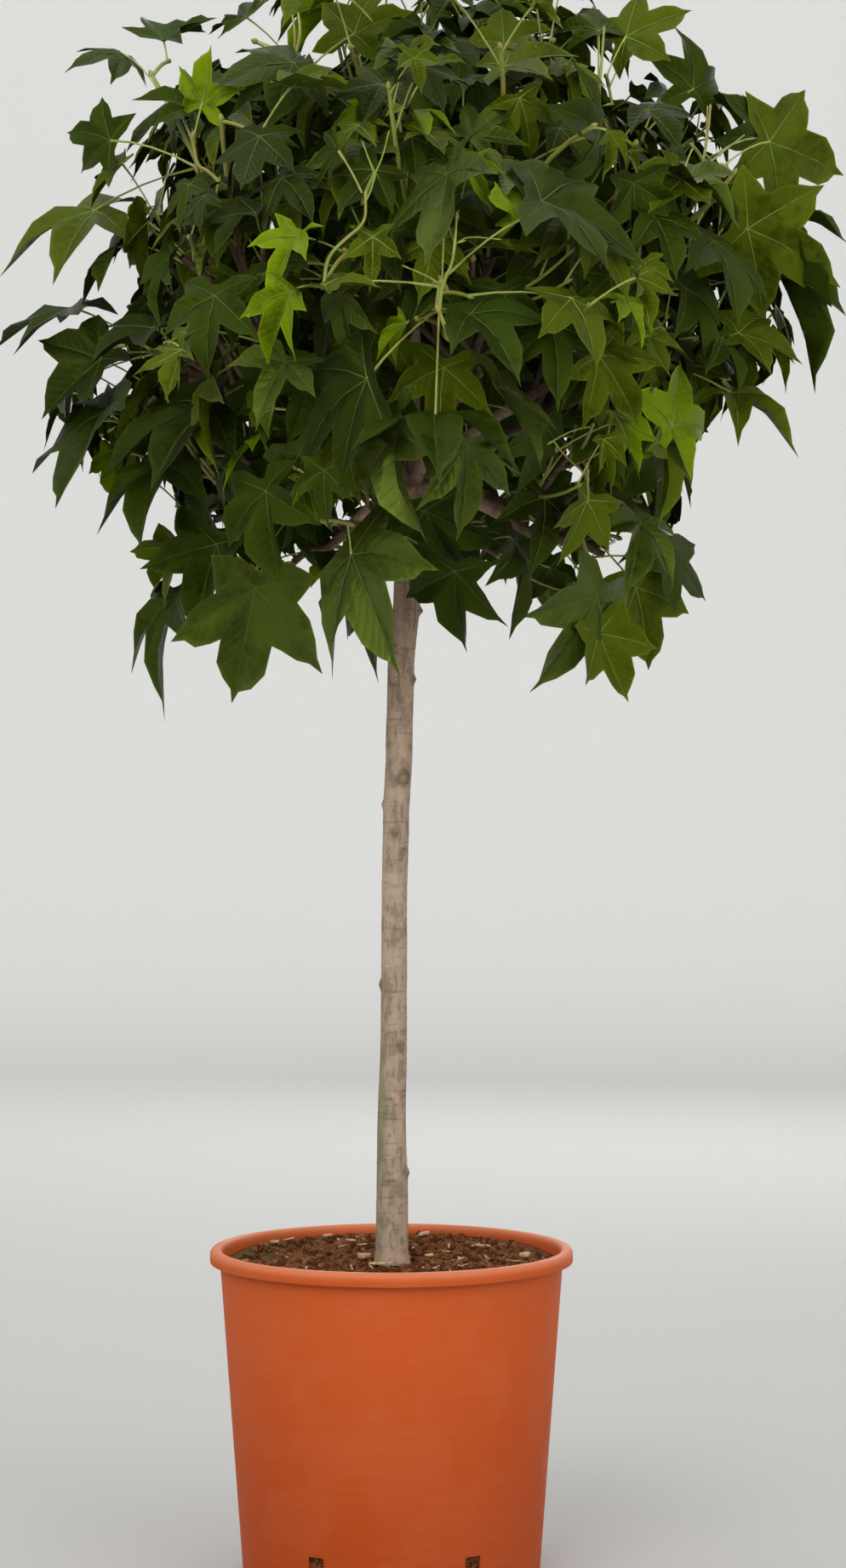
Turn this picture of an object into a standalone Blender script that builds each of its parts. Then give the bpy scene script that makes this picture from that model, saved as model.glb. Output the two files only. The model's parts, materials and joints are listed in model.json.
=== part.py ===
"""Half-standard sweetgum: a ball-headed garden tree, grafted on a bare stem and growing in a nursery pot.

Metres, +Z up. The origin is on the pot's axis, in the plane of its underside.
The trunk ends in a swollen graft union. Boughs leave it on all sides, and each carries one mass of foliage.
A mass keeps to the space that lies nearest its own seat, so no two masses meet.
"""

import math
import random

import bmesh
import bpy
from mathutils import Matrix, Vector
from mathutils.bvhtree import BVHTree

# ---- Driving dimensions ---------------------------------------------------------------------------

# Pieces that touch on the real plant lie this far apart.
GAP = 0.0003

POT_HEIGHT = 0.250
POT_BASE_RADIUS = 0.1146
POT_NECK_RADIUS = 0.1322
POT_RIM_RADIUS = 0.1400
POT_RIM_DEPTH = 0.0105
POT_RIM_ROUNDING = 0.0040
POT_WALL = 0.0020
POT_FLOOR = 0.0030
POT_FOOT_ROUNDING = 0.0025
POT_SIDES = 36

SLOTS = 6
SLOT_WIDTH = 0.0130
SLOT_TOP = 0.0340
SLOT_INTO_FLOOR = 0.0140
SLOT_FIRST_AZIMUTH = math.radians(-58.2)

SOIL_BELOW_RIM = 0.0110
SOIL_DISHING = 0.0020
SOIL_HOLLOW_SHARE = 0.15
SOIL_CREST_SHARE = 0.80

TRUNK_BEVEL_STEPS = 4
TRUNK_RING_SPACING = 0.040
ROOT_FLARE_HEIGHT = 0.0060
# Height, how far the centre line leans out along +X, and radius.
TRUNK_COURSE = (
    (0.2373, 0.0003, 0.0142),
    (0.2470, 0.0003, 0.0126),
    (0.3010, 0.0005, 0.0121),
    (0.3370, 0.0000, 0.0111),
    (0.4190, 0.0018, 0.0101),
    (0.5170, 0.0022, 0.0098),
    (0.5760, 0.0033, 0.0101),
    (0.6340, 0.0058, 0.0103),
    (0.6940, 0.0072, 0.0103),
    (0.7530, 0.0118, 0.0102),
    (0.8060, 0.0164, 0.0112),
)
UNION_HEIGHT = 0.8350
UNION_LEAN = 0.0170
UNION_RADIUS = 0.0145
# Latitudes of the rings that round the union off.
UNION_RINGS = (-35, 0, 35, 62, 80)

# Height and reach of the leaf tips from the crown's axis, from the hanging skirt up to the top.
CROWN_OUTLINE = (
    (0.664, 0.175),
    (0.685, 0.202),
    (0.710, 0.216),
    (0.775, 0.226),
    (0.835, 0.262),
    (0.868, 0.302),
    (0.930, 0.332),
    (0.965, 0.345),
    (1.030, 0.345),
    (1.095, 0.325),
    (1.160, 0.286),
    (1.195, 0.252),
    (1.218, 0.190),
    (1.235, 0.080),
    (1.239, 0.000),
)
SHOOTS_ABOVE = 0.685
CROWN_AXIS = Vector((0.0200, 0.0, 0.0))
CROWN_CORE = Vector((0.0200, 0.0, 0.9250))

# Name, how many masses stand in the ring, its radius, its height, its first azimuth,
# and how far every other seat is shifted: outwards, up and round.
MASS_RINGS = (
    ("skirt", 6, 0.140, 0.795, math.radians(12), (0.012, 0.020, math.radians(6))),
    ("shoulder", 6, 0.195, 0.940, math.radians(45), (0.012, 0.050, math.radians(-7))),
    ("top", 1, 0.000, 1.150, 0.0, (0.0, 0.0, 0.0)),
)
WALL_CLEARANCE = 0.0006

BOUGH_REACH = {"skirt": 0.075, "shoulder": 0.105, "top": 0.150}
BOUGH_RADII = (0.0044, 0.0039)
BOUGH_LIFT = 0.25
BOUGH_BEND_SHARE = 0.45
BOUGH_RINGS = 5
BOUGH_BEVEL_STEPS = 1
# The bark under a bough's root is probed at the root's centre and on two circles.
SEAT_PROBES = 24
SEAT_PROBE_CIRCLES = (0.0, 0.5, 1.0)
SEAT_PROBE_START = 3 * UNION_RADIUS

TWIG_SIDES = 3
STEM_RADII = (0.0042, 0.0034)
STEM_STRAIGHT = 0.035
STEM_BEND_SHARE = 0.75
STEM_BEND_PUSH = 0.004
STEM_PAST_SEAT = 0.012
STEM_STATIONS = 20
FIRST_SHOOT_STATION = 3

SHOOTS = 80
SHOOT_INSETS = (0.068, 0.074, 0.066, 0.070, 0.115)
SHOOT_RADII = (0.0025, 0.0022)
SHOOT_BOW = 0.10
SHOOT_TILT = 0.06
SHOOT_TRIES = 6
SHOOT_SHARED = 0.25
SHOOT_FORWARD = 0.60
SHOOT_END_ROOM = 0.012
SHOOT_END_STEP = 0.1
LEAF_NODES = (0.42, 0.62, 0.82, 1.00)
LEAF_NODE_SETBACK = 0.02
GOLDEN_ANGLE = math.pi * (3 - math.sqrt(5))

LEAF_LENGTH = (0.062, 0.084)
LEAF_THICKNESS = 0.0022
LEAF_DROOP = 0.22
PETIOLE_LENGTH = (0.040, 0.070)
PETIOLE_RADIUS = 0.0008
# How much a stalk follows its shoot, turns to a side of it, leans out of the crown and rises.
STALK_WEIGHTS = (0.45, 0.90, 0.55, 0.20)
# How much a blade faces level outwards, away from the crown's core, up and along its stalk.
BLADE_WEIGHTS = (0.70, 0.50, 0.35, 0.30)
BLADE_WANDER = 0.4
# How much a blade's tip follows its stalk, leans out of the crown and hangs down.
HANG_WEIGHTS = (0.40, 0.35, 0.80)
STALK_SPREAD = math.cos(math.radians(32))
STALK_SLANT = 0.30
STALK_SLANT_AT_TIP = 0.30
LEAF_TRIES = 40
LEAF_SHRINKS = (1.00, 0.80, 0.64)
# Degrees from the middle lobe, and reach as a share of the leaf's length: lobes and the notches between them.
LEAF_OUTLINE = ((0, 1.00), (27, 0.47), (57, 0.86), (86, 0.38), (116, 0.62), (158, 0.05))

# Name, base colour and roughness of each finish.
FINISHES = (
    ("clay_plastic", (0.45, 0.10, 0.03), 0.55),
    ("compost", (0.10, 0.045, 0.02), 0.95),
    ("bark", (0.30, 0.22, 0.16), 0.85),
    ("leaf_green", (0.05, 0.11, 0.02), 0.50),
)


# ---- Materials and objects ------------------------------------------------------------------------


def material(name, colour, roughness):
    made = bpy.data.materials.new(name)
    made.use_nodes = True
    shader = made.node_tree.nodes["Principled BSDF"]
    shader.inputs["Base Color"].default_value = (*colour, 1.0)
    shader.inputs["Roughness"].default_value = roughness
    shader.inputs["Metallic"].default_value = 0.0
    made.diffuse_color = (*colour, 1.0)
    return made


def add_object(name, data, finish, collection):
    made = bpy.data.objects.new(name, data)
    if finish:
        data.materials.append(finish)
    collection.objects.link(made)
    return made


def mesh_object(name, shape, finish, collection):
    mesh = bpy.data.meshes.new(name)
    shape.to_mesh(mesh)
    shape.free()
    return add_object(name, mesh, finish, collection)


def clear_scene():
    for thing in list(bpy.data.objects):
        bpy.data.objects.remove(thing)


# ---- Pot and soil ---------------------------------------------------------------------------------


def wall_radius(height):
    """The pot wall's outer radius, which grows evenly from the foot to the neck under the rim."""
    share = height / (POT_HEIGHT - POT_RIM_DEPTH)
    return POT_BASE_RADIUS + (POT_NECK_RADIUS - POT_BASE_RADIUS) * share


def arc(centre_radius, centre_height, radius, start, end, steps):
    """Points of a profile on a circular arc, at even angles, in degrees."""
    points = []
    for step in range(steps + 1):
        angle = math.radians(start + (end - start) * step / steps)
        points.append((centre_radius + radius * math.cos(angle), centre_height + radius * math.sin(angle)))
    return points


def turned(name, profile, finish, collection):
    """A solid turned about the Z axis from a profile that runs down its outer side."""
    shape = bmesh.new()
    points = [shape.verts.new((radius, 0.0, height)) for radius, height in profile]
    for first, second in zip(points, points[1:]):
        shape.edges.new((first, second))
    made = mesh_object(name, shape, finish, collection)
    screw = made.modifiers.new("turn", "SCREW")
    screw.steps = screw.render_steps = POT_SIDES
    screw.use_merge_vertices = True
    screw.merge_threshold = 0.00001
    screw.use_smooth_shade = True
    return made


def pot_profile():
    """Out over the floor, up the inside, over the folded rim, down the wall and round the foot."""
    top = POT_HEIGHT
    fold = POT_RIM_ROUNDING
    skirt_low = top - POT_RIM_DEPTH
    inside = [
        (0.0, POT_FLOOR),
        (wall_radius(POT_FLOOR) - POT_WALL, POT_FLOOR),
        (wall_radius(top) - POT_WALL, top - POT_WALL),
        (wall_radius(top), top),
    ]
    rim = arc(POT_RIM_RADIUS - fold, top - fold, fold, 90, 0, 3)
    under = [
        (POT_RIM_RADIUS, skirt_low),
        (POT_RIM_RADIUS - POT_WALL, skirt_low),
        (POT_RIM_RADIUS - POT_WALL, top - fold),
        (wall_radius(top - fold), top - fold),
    ]
    foot = arc(POT_BASE_RADIUS - POT_FOOT_ROUNDING, POT_FOOT_ROUNDING, POT_FOOT_ROUNDING, 0, -90, 2)
    return inside + rim + under + foot + [(0.0, 0.0)]


def slot_cutter(index, collection):
    """A drainage slot: it runs down the foot of the wall, round the corner and into the floor."""
    azimuth = SLOT_FIRST_AZIMUTH + math.tau * index / SLOTS
    inner = POT_BASE_RADIUS - SLOT_INTO_FLOOR
    outer = POT_BASE_RADIUS + SLOT_INTO_FLOOR
    below = SLOT_TOP / 2
    shape = bmesh.new()
    bmesh.ops.create_cube(shape, size=1.0)
    bmesh.ops.scale(shape, vec=(outer - inner, SLOT_WIDTH, SLOT_TOP + below), verts=shape.verts)
    bmesh.ops.translate(shape, vec=((outer + inner) / 2, 0.0, (SLOT_TOP - below) / 2), verts=shape.verts)
    bmesh.ops.rotate(shape, matrix=Matrix.Rotation(azimuth, 3, "Z"), verts=shape.verts)
    made = mesh_object(f"slot_cutter_{index}", shape, None, collection)
    made.hide_render = True
    made.display_type = "WIRE"
    return made


def make_pot(finish, collection, cutters):
    pot = turned("pot", pot_profile(), finish, collection)
    for index in range(SLOTS):
        cut = pot.modifiers.new(f"slot_{index}", "BOOLEAN")
        cut.operation = "DIFFERENCE"
        cut.object = slot_cutter(index, cutters)
    return pot


def make_soil(finish, collection):
    """The root ball fills the pot up to a little under the rim, and its top is slightly dished."""
    level = POT_HEIGHT - SOIL_BELOW_RIM
    floor = POT_FLOOR + GAP
    clearance = POT_WALL + 2 * GAP
    profile = [
        (0.0, level - SOIL_DISHING),
        (wall_radius(level) * SOIL_HOLLOW_SHARE, level - SOIL_DISHING),
        (wall_radius(level) * SOIL_CREST_SHARE, level),
        (wall_radius(level) - clearance, level - SOIL_DISHING),
        (wall_radius(floor) - clearance, floor),
        (0.0, floor),
    ]
    return turned("root_ball", profile, finish, collection)


# ---- Trunk and boughs -----------------------------------------------------------------------------


def limb(name, points, radii, resolution, finish, collection):
    """A tapering round limb along its centre line, closed at both ends."""
    curve = bpy.data.curves.new(name, "CURVE")
    curve.dimensions = "3D"
    curve.bevel_depth = 1.0
    curve.bevel_resolution = resolution
    curve.use_fill_caps = True
    spline = curve.splines.new("POLY")
    spline.points.add(len(points) - 1)
    for knot, point, radius in zip(spline.points, points, radii):
        knot.co = (*point, 1.0)
        knot.radius = radius
    return add_object(name, curve, finish, collection)


def course(height):
    """Lean and radius of the trunk at a height, eased between the heights that are given."""
    for (low, lean, radius), (high, next_lean, next_radius) in zip(TRUNK_COURSE, TRUNK_COURSE[1:]):
        if height <= high:
            share = (height - low) / (high - low)
            ease = share * share * (3 - 2 * share)
            return lean + (next_lean - lean) * ease, radius + (next_radius - radius) * share
    return TRUNK_COURSE[-1][1:]


def union_centre():
    return Vector((UNION_LEAN, 0.0, UNION_HEIGHT))


def make_trunk(finish, collection):
    """From a flat cut on the soil, over the root flare, up to the swollen union where the boughs start."""
    foot = POT_HEIGHT - SOIL_BELOW_RIM - SOIL_DISHING + GAP
    flare_top = foot + ROOT_FLARE_HEIGHT
    top = TRUNK_COURSE[-1][0]
    rings = round((top - flare_top) / TRUNK_RING_SPACING)
    heights = [foot] + [flare_top + (top - flare_top) * ring / rings for ring in range(rings + 1)]
    points, radii = [], []
    for height in heights:
        lean, radius = course(max(height, TRUNK_COURSE[0][0]))
        points.append(Vector((lean, 0.0, height)))
        radii.append(radius)
    points[0].x = points[1].x
    for degrees in UNION_RINGS:
        angle = math.radians(degrees)
        points.append(union_centre() + Vector((0.0, 0.0, UNION_RADIUS * math.sin(angle))))
        radii.append(UNION_RADIUS * math.cos(angle))
    return limb("trunk", points, radii, TRUNK_BEVEL_STEPS, finish, collection)


def seat_reach(trunk_faces, leaving):
    """How far from the union's centre a bough's flat root starts, so that it just clears the bark under it."""
    across = leaving.orthogonal().normalized()
    highest = 0.0
    for step in range(SEAT_PROBES):
        turned_round = Matrix.Rotation(math.tau * step / SEAT_PROBES, 3, leaving) @ across
        for share in SEAT_PROBE_CIRCLES:
            aside = turned_round * BOUGH_RADII[0] * share
            above = union_centre() + aside + leaving * SEAT_PROBE_START
            bark = trunk_faces.ray_cast(above, -leaving)[0]
            if bark:
                highest = max(highest, (bark - union_centre()).dot(leaving))
    return highest + GAP


def bough_course(ring, seat, trunk_faces):
    """Centre line of a bough: it leaves the union squarely, steeper than it ends."""
    towards = (seat - union_centre()).normalized()
    leaving = (towards + Vector((0.0, 0.0, BOUGH_LIFT))).normalized()
    start = union_centre() + leaving * seat_reach(trunk_faces, leaving)
    end = union_centre() + towards * BOUGH_REACH[ring]
    bend = start + leaving * (end - start).length * BOUGH_BEND_SHARE
    points = []
    for step in range(BOUGH_RINGS):
        share = step / (BOUGH_RINGS - 1)
        points.append(start.lerp(bend, share).lerp(bend.lerp(end, share), share))
    # The first length runs square to the union, so that the flat root faces it evenly.
    points[1] = start + leaving * (points[1] - start).length
    return points


def make_bough(name, points, finish, collection):
    thick, thin = BOUGH_RADII
    radii = [thick + (thin - thick) * step / (len(points) - 1) for step in range(len(points))]
    return limb(name, points, radii, BOUGH_BEVEL_STEPS, finish, collection)


# ---- The crown's shape and the spaces of its masses -----------------------------------------------


def crown_reach(height):
    """How far from the crown's axis the leaf tips reach at a height."""
    if not CROWN_OUTLINE[0][0] <= height <= CROWN_OUTLINE[-1][0]:
        return -1.0
    for (low, reach), (high, next_reach) in zip(CROWN_OUTLINE, CROWN_OUTLINE[1:]):
        if height <= high:
            return reach + (next_reach - reach) * (height - low) / (high - low)


def mass_seats():
    """Name, ring and seat of each mass."""
    seats = []
    for ring, count, radius, height, first, (out, lift, turn) in MASS_RINGS:
        for index in range(count):
            shifted = index % 2
            azimuth = first + math.tau * index / count + turn * shifted
            side = Vector((math.cos(azimuth), math.sin(azimuth), 0.0)) * (radius + out * shifted)
            name = f"foliage_{ring}" if count == 1 else f"foliage_{ring}_{index + 1}"
            seats.append((name, ring, CROWN_AXIS + side + Vector((0.0, 0.0, height + lift * shifted))))
    return seats


def room(point, seat, seats):
    """How far inside its own mass's space a point lies. The space holds the points nearest the seat."""
    room_left = math.inf
    for _, _, other in seats:
        between = other - seat
        if between.length > 0:
            room_left = min(room_left, ((seat + other) / 2 - point).dot(between.normalized()))
    return room_left


def in_crown(point):
    flat = Vector((point.x - CROWN_AXIS.x, point.y - CROWN_AXIS.y))
    return flat.length <= crown_reach(point.z)


def shoot_ends():
    """Points spread evenly over the crown by the golden angle, a leaf's length or more inside its outline."""
    bands = []
    for (low, reach), (high, next_reach) in zip(CROWN_OUTLINE, CROWN_OUTLINE[1:]):
        if low < SHOOTS_ABOVE:
            continue
        slant = math.hypot(high - low, next_reach - reach)
        bands.append((low, reach, high, next_reach, slant * (reach + next_reach) / 2))
    whole = sum(band[-1] for band in bands)
    ends = []
    for index in range(SHOOTS):
        left = (index + 0.5) / SHOOTS * whole
        for low, reach, high, next_reach, area in bands:
            if left <= area:
                break
            left -= area
        share = left / area
        azimuth = index * GOLDEN_ANGLE
        reach += (next_reach - reach) * share
        side = Vector((math.cos(azimuth), math.sin(azimuth), 0.0)) * reach
        outline = CROWN_AXIS + side + Vector((0.0, 0.0, low + (high - low) * share))
        inset = SHOOT_INSETS[index % len(SHOOT_INSETS)]
        ends.append(outline + (CROWN_CORE - outline).normalized() * inset)
    return ends


# ---- Twigs and leaves -----------------------------------------------------------------------------


def twig_shape(points, radii):
    """A three-sided tapering twig, drawn out length by length from a filled triangle."""
    shape = bmesh.new()
    direction = (points[1] - points[0]).normalized()
    turn = direction.to_track_quat("Z", "Y").to_matrix().to_4x4()
    bmesh.ops.create_circle(
        shape,
        cap_ends=True,
        segments=TWIG_SIDES,
        radius=radii[0],
        matrix=Matrix.Translation(points[0]) @ turn,
    )
    face = shape.faces[:][0]
    for index in range(1, len(points)):
        drawn = bmesh.ops.extrude_face_region(shape, geom=[face, *face.edges])["geom"]
        face = next(item for item in drawn if isinstance(item, bmesh.types.BMFace))
        ahead = (points[min(index + 1, len(points) - 1)] - points[index - 1]).normalized()
        swing = direction.rotation_difference(ahead)
        for corner in face.verts:
            offset = swing @ (corner.co - points[index - 1])
            corner.co = points[index] + offset * (radii[index] / radii[index - 1])
        direction = ahead
    bmesh.ops.recalc_face_normals(shape, faces=shape.faces)
    return shape


def leaf_shape(hub, tip, normal, length, root):
    """A five-lobed leaf with its stalk, as one closed shape.

    The blade is a low cone whose edge is drawn out to the lobes and in to the notches.
    The stalk is drawn out of the blade's base, from the side that faces its root.
    """
    half = len(LEAF_OUTLINE) - 1
    corners = [(-degrees, reach) for degrees, reach in LEAF_OUTLINE[:0:-1]] + list(LEAF_OUTLINE)
    shape = bmesh.new()
    bmesh.ops.create_cone(
        shape, cap_ends=True, cap_tris=True, segments=2 * half + 1, radius1=1.0, radius2=0.0, depth=1.0
    )
    edge = sorted(
        (vert for vert in shape.verts if vert.co.xy.length > 0.5),
        key=lambda vert: math.atan2(vert.co.y, vert.co.x),
    )
    hubs = [vert for vert in shape.verts if vert not in edge]
    base = (edge[0], edge[-1])
    for vert in hubs:
        vert.co = (0.0, 0.0, math.copysign(LEAF_THICKNESS / 2, vert.co.z))
    for vert, (degrees, reach) in zip(edge, corners):
        angle = math.radians(degrees)
        flat = Vector((math.cos(angle), math.sin(angle), 0.0)) * reach * length
        vert.co = flat - Vector((0.0, 0.0, LEAF_DROOP * length * reach * reach))
    side = normal.cross(tip)
    place = Matrix((tip, side, normal)).transposed()
    bmesh.ops.transform(shape, matrix=Matrix.Translation(hub) @ place.to_4x4(), verts=shape.verts)
    stalk = root - hub
    upper = stalk.dot(normal) > 0
    middle = next(vert for vert in hubs if ((vert.co - hub).dot(normal) > 0) == upper)
    socket = next(face for face in middle.link_faces if base[0] in face.verts and base[1] in face.verts)
    centre = socket.calc_center_median()
    outward = normal if upper else -normal
    swing = outward.rotation_difference(stalk)
    widest = max((vert.co - centre).length for vert in socket.verts)
    drawn = bmesh.ops.extrude_discrete_faces(shape, faces=[socket])["faces"][0]
    for vert in drawn.verts:
        vert.co = root + swing @ (vert.co - centre) * (PETIOLE_RADIUS / widest)
    return shape


def faces_of_shape(shape):
    """A search tree over a shape's faces. The shape itself is used up."""
    found = BVHTree.FromBMesh(shape)
    shape.free()
    return found


def along(points, share):
    """Point and direction at a share of a course's length."""
    lengths = [(after - before).length for before, after in zip(points, points[1:])]
    left = share * sum(lengths)
    for before, after, length in zip(points, points[1:], lengths):
        if left <= length or after is points[-1]:
            return before.lerp(after, min(left / length, 1.0)), (after - before).normalized()
        left -= length


def stem_course(seat, bough):
    """The stem that carries a mass: on from its bough's tip, through the seat."""
    heading = (bough[-1] - bough[-2]).normalized()
    start = bough[-1] + heading * GAP
    outward = (seat - CROWN_CORE).normalized()
    bend = start.lerp(seat, STEM_BEND_SHARE) + heading * STEM_BEND_PUSH
    return [start, start + heading * STEM_STRAIGHT, bend, seat + outward * STEM_PAST_SEAT]


def shoot_course(stem, end, draws):
    """A shoot leaves the stem well before the place nearest its end, and bows up on the way."""
    stations = range(FIRST_SHOOT_STATION, STEM_STATIONS)
    places = [along(stem, station / STEM_STATIONS)[0] for station in stations]
    nearest = min(range(len(places)), key=lambda index: (places[index] - end).length)
    reach = (places[nearest] - end).length
    length = sum((after - before).length for before, after in zip(stem, stem[1:]))
    back = int(SHOOT_FORWARD * reach / length * STEM_STATIONS)
    start = places[max(nearest - back, 0)]
    span = end - start
    tilt = Vector([draws.uniform(-SHOOT_TILT, SHOOT_TILT) for _ in range(3)])
    middle = start.lerp(end, 0.5) + (Vector((0.0, 0.0, SHOOT_BOW)) + tilt) * span.length
    return [start, middle, end]


def leaf_place(node, heading, draws):
    """One way to hang a leaf on a shoot: the stalk leans out of the crown and the blade hangs from it."""
    up = Vector((0.0, 0.0, 1.0))
    outward = (node - CROWN_CORE).normalized()
    side = heading.orthogonal().normalized()
    side.rotate(Matrix.Rotation(draws.uniform(0, math.tau), 3, heading))
    follow, aside, lean, rise = STALK_WEIGHTS
    stalk = (heading * follow + side * aside + outward * lean + up * rise).normalized()
    hub = node + stalk * draws.uniform(*PETIOLE_LENGTH)
    level = Vector((hub.x - CROWN_AXIS.x, hub.y - CROWN_AXIS.y, 0.0)).normalized()
    wander = Vector([draws.uniform(-BLADE_WANDER, BLADE_WANDER) for _ in range(3)])
    flat, away, sky, own = BLADE_WEIGHTS
    normal = (level * flat + outward * away + up * sky + stalk * own + wander).normalized()
    follow, lean, drop = HANG_WEIGHTS
    hang = stalk * follow + outward * lean - up * drop
    tip = (hang - normal * hang.dot(normal)).normalized()
    return hub, tip, normal, draws.uniform(*LEAF_LENGTH)


def stalk_is_sound(node, heading, hub, tip, normal):
    """True if a stalk stands clear of its own shoot, and doesn't lie flat on the blade where it joins it."""
    stalk = (node - hub).normalized()
    least_slant = STALK_SLANT + STALK_SLANT_AT_TIP * stalk.dot(tip)
    return -stalk.dot(heading) < STALK_SPREAD and abs(stalk.dot(normal)) > least_slant


def grow_mass(name, seat, seats, bough, ends, limbs, hubs):
    """The closed shapes of one mass: its stem, the shoots that end in its space, and their leaves.

    Each leaf is tried in several places, first in the one farthest from the leaves that are already there.
    """
    draws = random.Random(name)
    stem = stem_course(seat, bough)
    thick, thin = STEM_RADII
    twigs = [twig_shape(stem, [thick, thick, (thick + thin) / 2, thin])]
    shoots = []
    outer_lengths = []
    thick, thin = SHOOT_RADII
    for end in ends:
        while room(end, seat, seats) < SHOOT_END_ROOM:
            end = end.lerp(seat, SHOOT_END_STEP)
        for _ in range(SHOOT_TRIES):
            shoot = shoot_course(stem, end, draws)
            outer = [along(shoot, SHOOT_SHARED)[0]] + shoot[1:]
            tree = faces_of_shape(twig_shape(outer, [2 * thick] * len(outer)))
            if not any(tree.overlap(other) for other in outer_lengths):
                outer_lengths.append(tree)
                twigs.append(twig_shape(shoot, [thick, (thick + thin) / 2, thin]))
                shoots.append((shoot, BVHTree.FromBMesh(twigs[-1])))
                break
    leaves, placed = [], []
    for share in reversed(LEAF_NODES):
        for shoot, own in shoots:
            node, heading = along(shoot, share - LEAF_NODE_SETBACK)
            places = [leaf_place(node, heading, draws) for _ in range(LEAF_TRIES)]
            places.sort(key=lambda place: -min(((place[0] - hub).length for hub in hubs), default=1.0))
            barred = [limbs] + placed + [tree for _, tree in shoots if tree is not own]
            sound = [place for place in places if stalk_is_sound(node, heading, *place[:3])]
            trials = ((place, shrink) for place in sound for shrink in LEAF_SHRINKS)
            for (hub, tip, normal, length), shrink in trials:
                shape = leaf_shape(hub, tip, normal, length * shrink, node)
                if fits(shape, seat, seats, barred):
                    leaves.append(shape)
                    placed.append(BVHTree.FromBMesh(shape))
                    hubs.append(hub)
                    break
                shape.free()
    return twigs + leaves


def fits(shape, seat, seats, barred):
    """True if a leaf stays in its mass's space and in the crown, and touches none of the barred trees."""
    for vert in shape.verts:
        if room(vert.co, seat, seats) < WALL_CLEARANCE or not in_crown(vert.co):
            return False
    tree = BVHTree.FromBMesh(shape)
    return not any(tree.overlap(other) for other in barred)


def keep_largest_shell(mesh):
    """Fills the hollows that joining sealed, and drops loose scraps: only the outermost surface stays."""
    shape = bmesh.new()
    shape.from_mesh(mesh)
    unseen = set(shape.verts)
    shells = []
    while unseen:
        shell = {unseen.pop()}
        edge_of_shell = list(shell)
        while edge_of_shell:
            vert = edge_of_shell.pop()
            for edge in vert.link_edges:
                other = edge.other_vert(vert)
                if other in unseen:
                    unseen.remove(other)
                    shell.add(other)
                    edge_of_shell.append(other)
        shells.append(shell)
    shells.sort(key=len)
    for shell in shells[:-1]:
        bmesh.ops.delete(shape, geom=list(shell), context="VERTS")
    shape.to_mesh(mesh)
    shape.free()


def joined(name, shapes, finish, collection):
    """One closed solid from overlapping closed shapes."""
    scrap = bpy.data.collections.new(name + "_pieces")
    bpy.context.scene.collection.children.link(scrap)
    base = mesh_object(name, shapes[0], finish, collection)
    for index, shape in enumerate(shapes[1:]):
        mesh_object(f"{name}_piece_{index}", shape, None, scrap)
    union = base.modifiers.new("join", "BOOLEAN")
    union.operation = "UNION"
    union.operand_type = "COLLECTION"
    union.collection = scrap
    graph = bpy.context.evaluated_depsgraph_get()
    mesh = bpy.data.meshes.new_from_object(base.evaluated_get(graph))
    base.modifiers.clear()
    base.data = mesh
    keep_largest_shell(mesh)
    for piece in list(scrap.objects):
        bpy.data.objects.remove(piece)
    bpy.data.collections.remove(scrap)
    return base


# ---- The whole plant ------------------------------------------------------------------------------


def faces_of(*solids):
    """One search tree over the faces of several objects."""
    graph = bpy.context.evaluated_depsgraph_get()
    gathered = bmesh.new()
    for solid in solids:
        mesh = bpy.data.meshes.new_from_object(solid.evaluated_get(graph))
        gathered.from_mesh(mesh)
        bpy.data.meshes.remove(mesh)
    found = BVHTree.FromBMesh(gathered)
    gathered.free()
    return found


def main():
    clear_scene()
    plant = bpy.data.collections.new("half_standard_sweetgum")
    cutters = bpy.data.collections.new("cutters")
    bpy.context.scene.collection.children.link(plant)
    bpy.context.scene.collection.children.link(cutters)

    finishes = {name: material(name, colour, roughness) for name, colour, roughness in FINISHES}

    make_pot(finishes["clay_plastic"], plant, cutters)
    make_soil(finishes["compost"], plant)
    trunk = make_trunk(finishes["bark"], plant)

    seats = mass_seats()
    trunk_faces = faces_of(trunk)
    courses = {name: bough_course(ring, seat, trunk_faces) for name, ring, seat in seats}
    boughs = []
    for name, ring, seat in seats:
        bough_name = name.replace("foliage", "bough")
        boughs.append(make_bough(bough_name, courses[name], finishes["bark"], plant))
    limbs = faces_of(trunk, *boughs)

    ends = {name: [] for name, _, _ in seats}
    for end in shoot_ends():
        nearest = min(seats, key=lambda entry: (entry[2] - end).length)
        ends[nearest[0]].append(end)
    hubs = []
    for name, _, seat in seats:
        shapes = grow_mass(name, seat, seats, courses[name], ends[name], limbs, hubs)
        joined(name, shapes, finishes["leaf_green"], plant)


main()
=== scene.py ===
"""Potted half-standard sweetgum: the finish of every surface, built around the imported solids.

Metres, +Z up. The origin is on the pot's axis, in the plane of its underside, and -Y is the front.
The head grows by the same rule as the solids: boughs leave the graft union, a stem runs on from each bough,
shoots leave the stems for ends that are spread evenly over the head, and leaves hang from them on stalks.
"""

import functools
import itertools
import json
import math
import random

import bmesh
import bpy
import numpy as np
from bpy.props import FloatProperty, FloatVectorProperty, IntProperty, PointerProperty
from bpy.types import Operator, Panel, PropertyGroup
from mathutils import Euler, Matrix, Vector, noise
from mathutils.bvhtree import BVHTree

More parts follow.
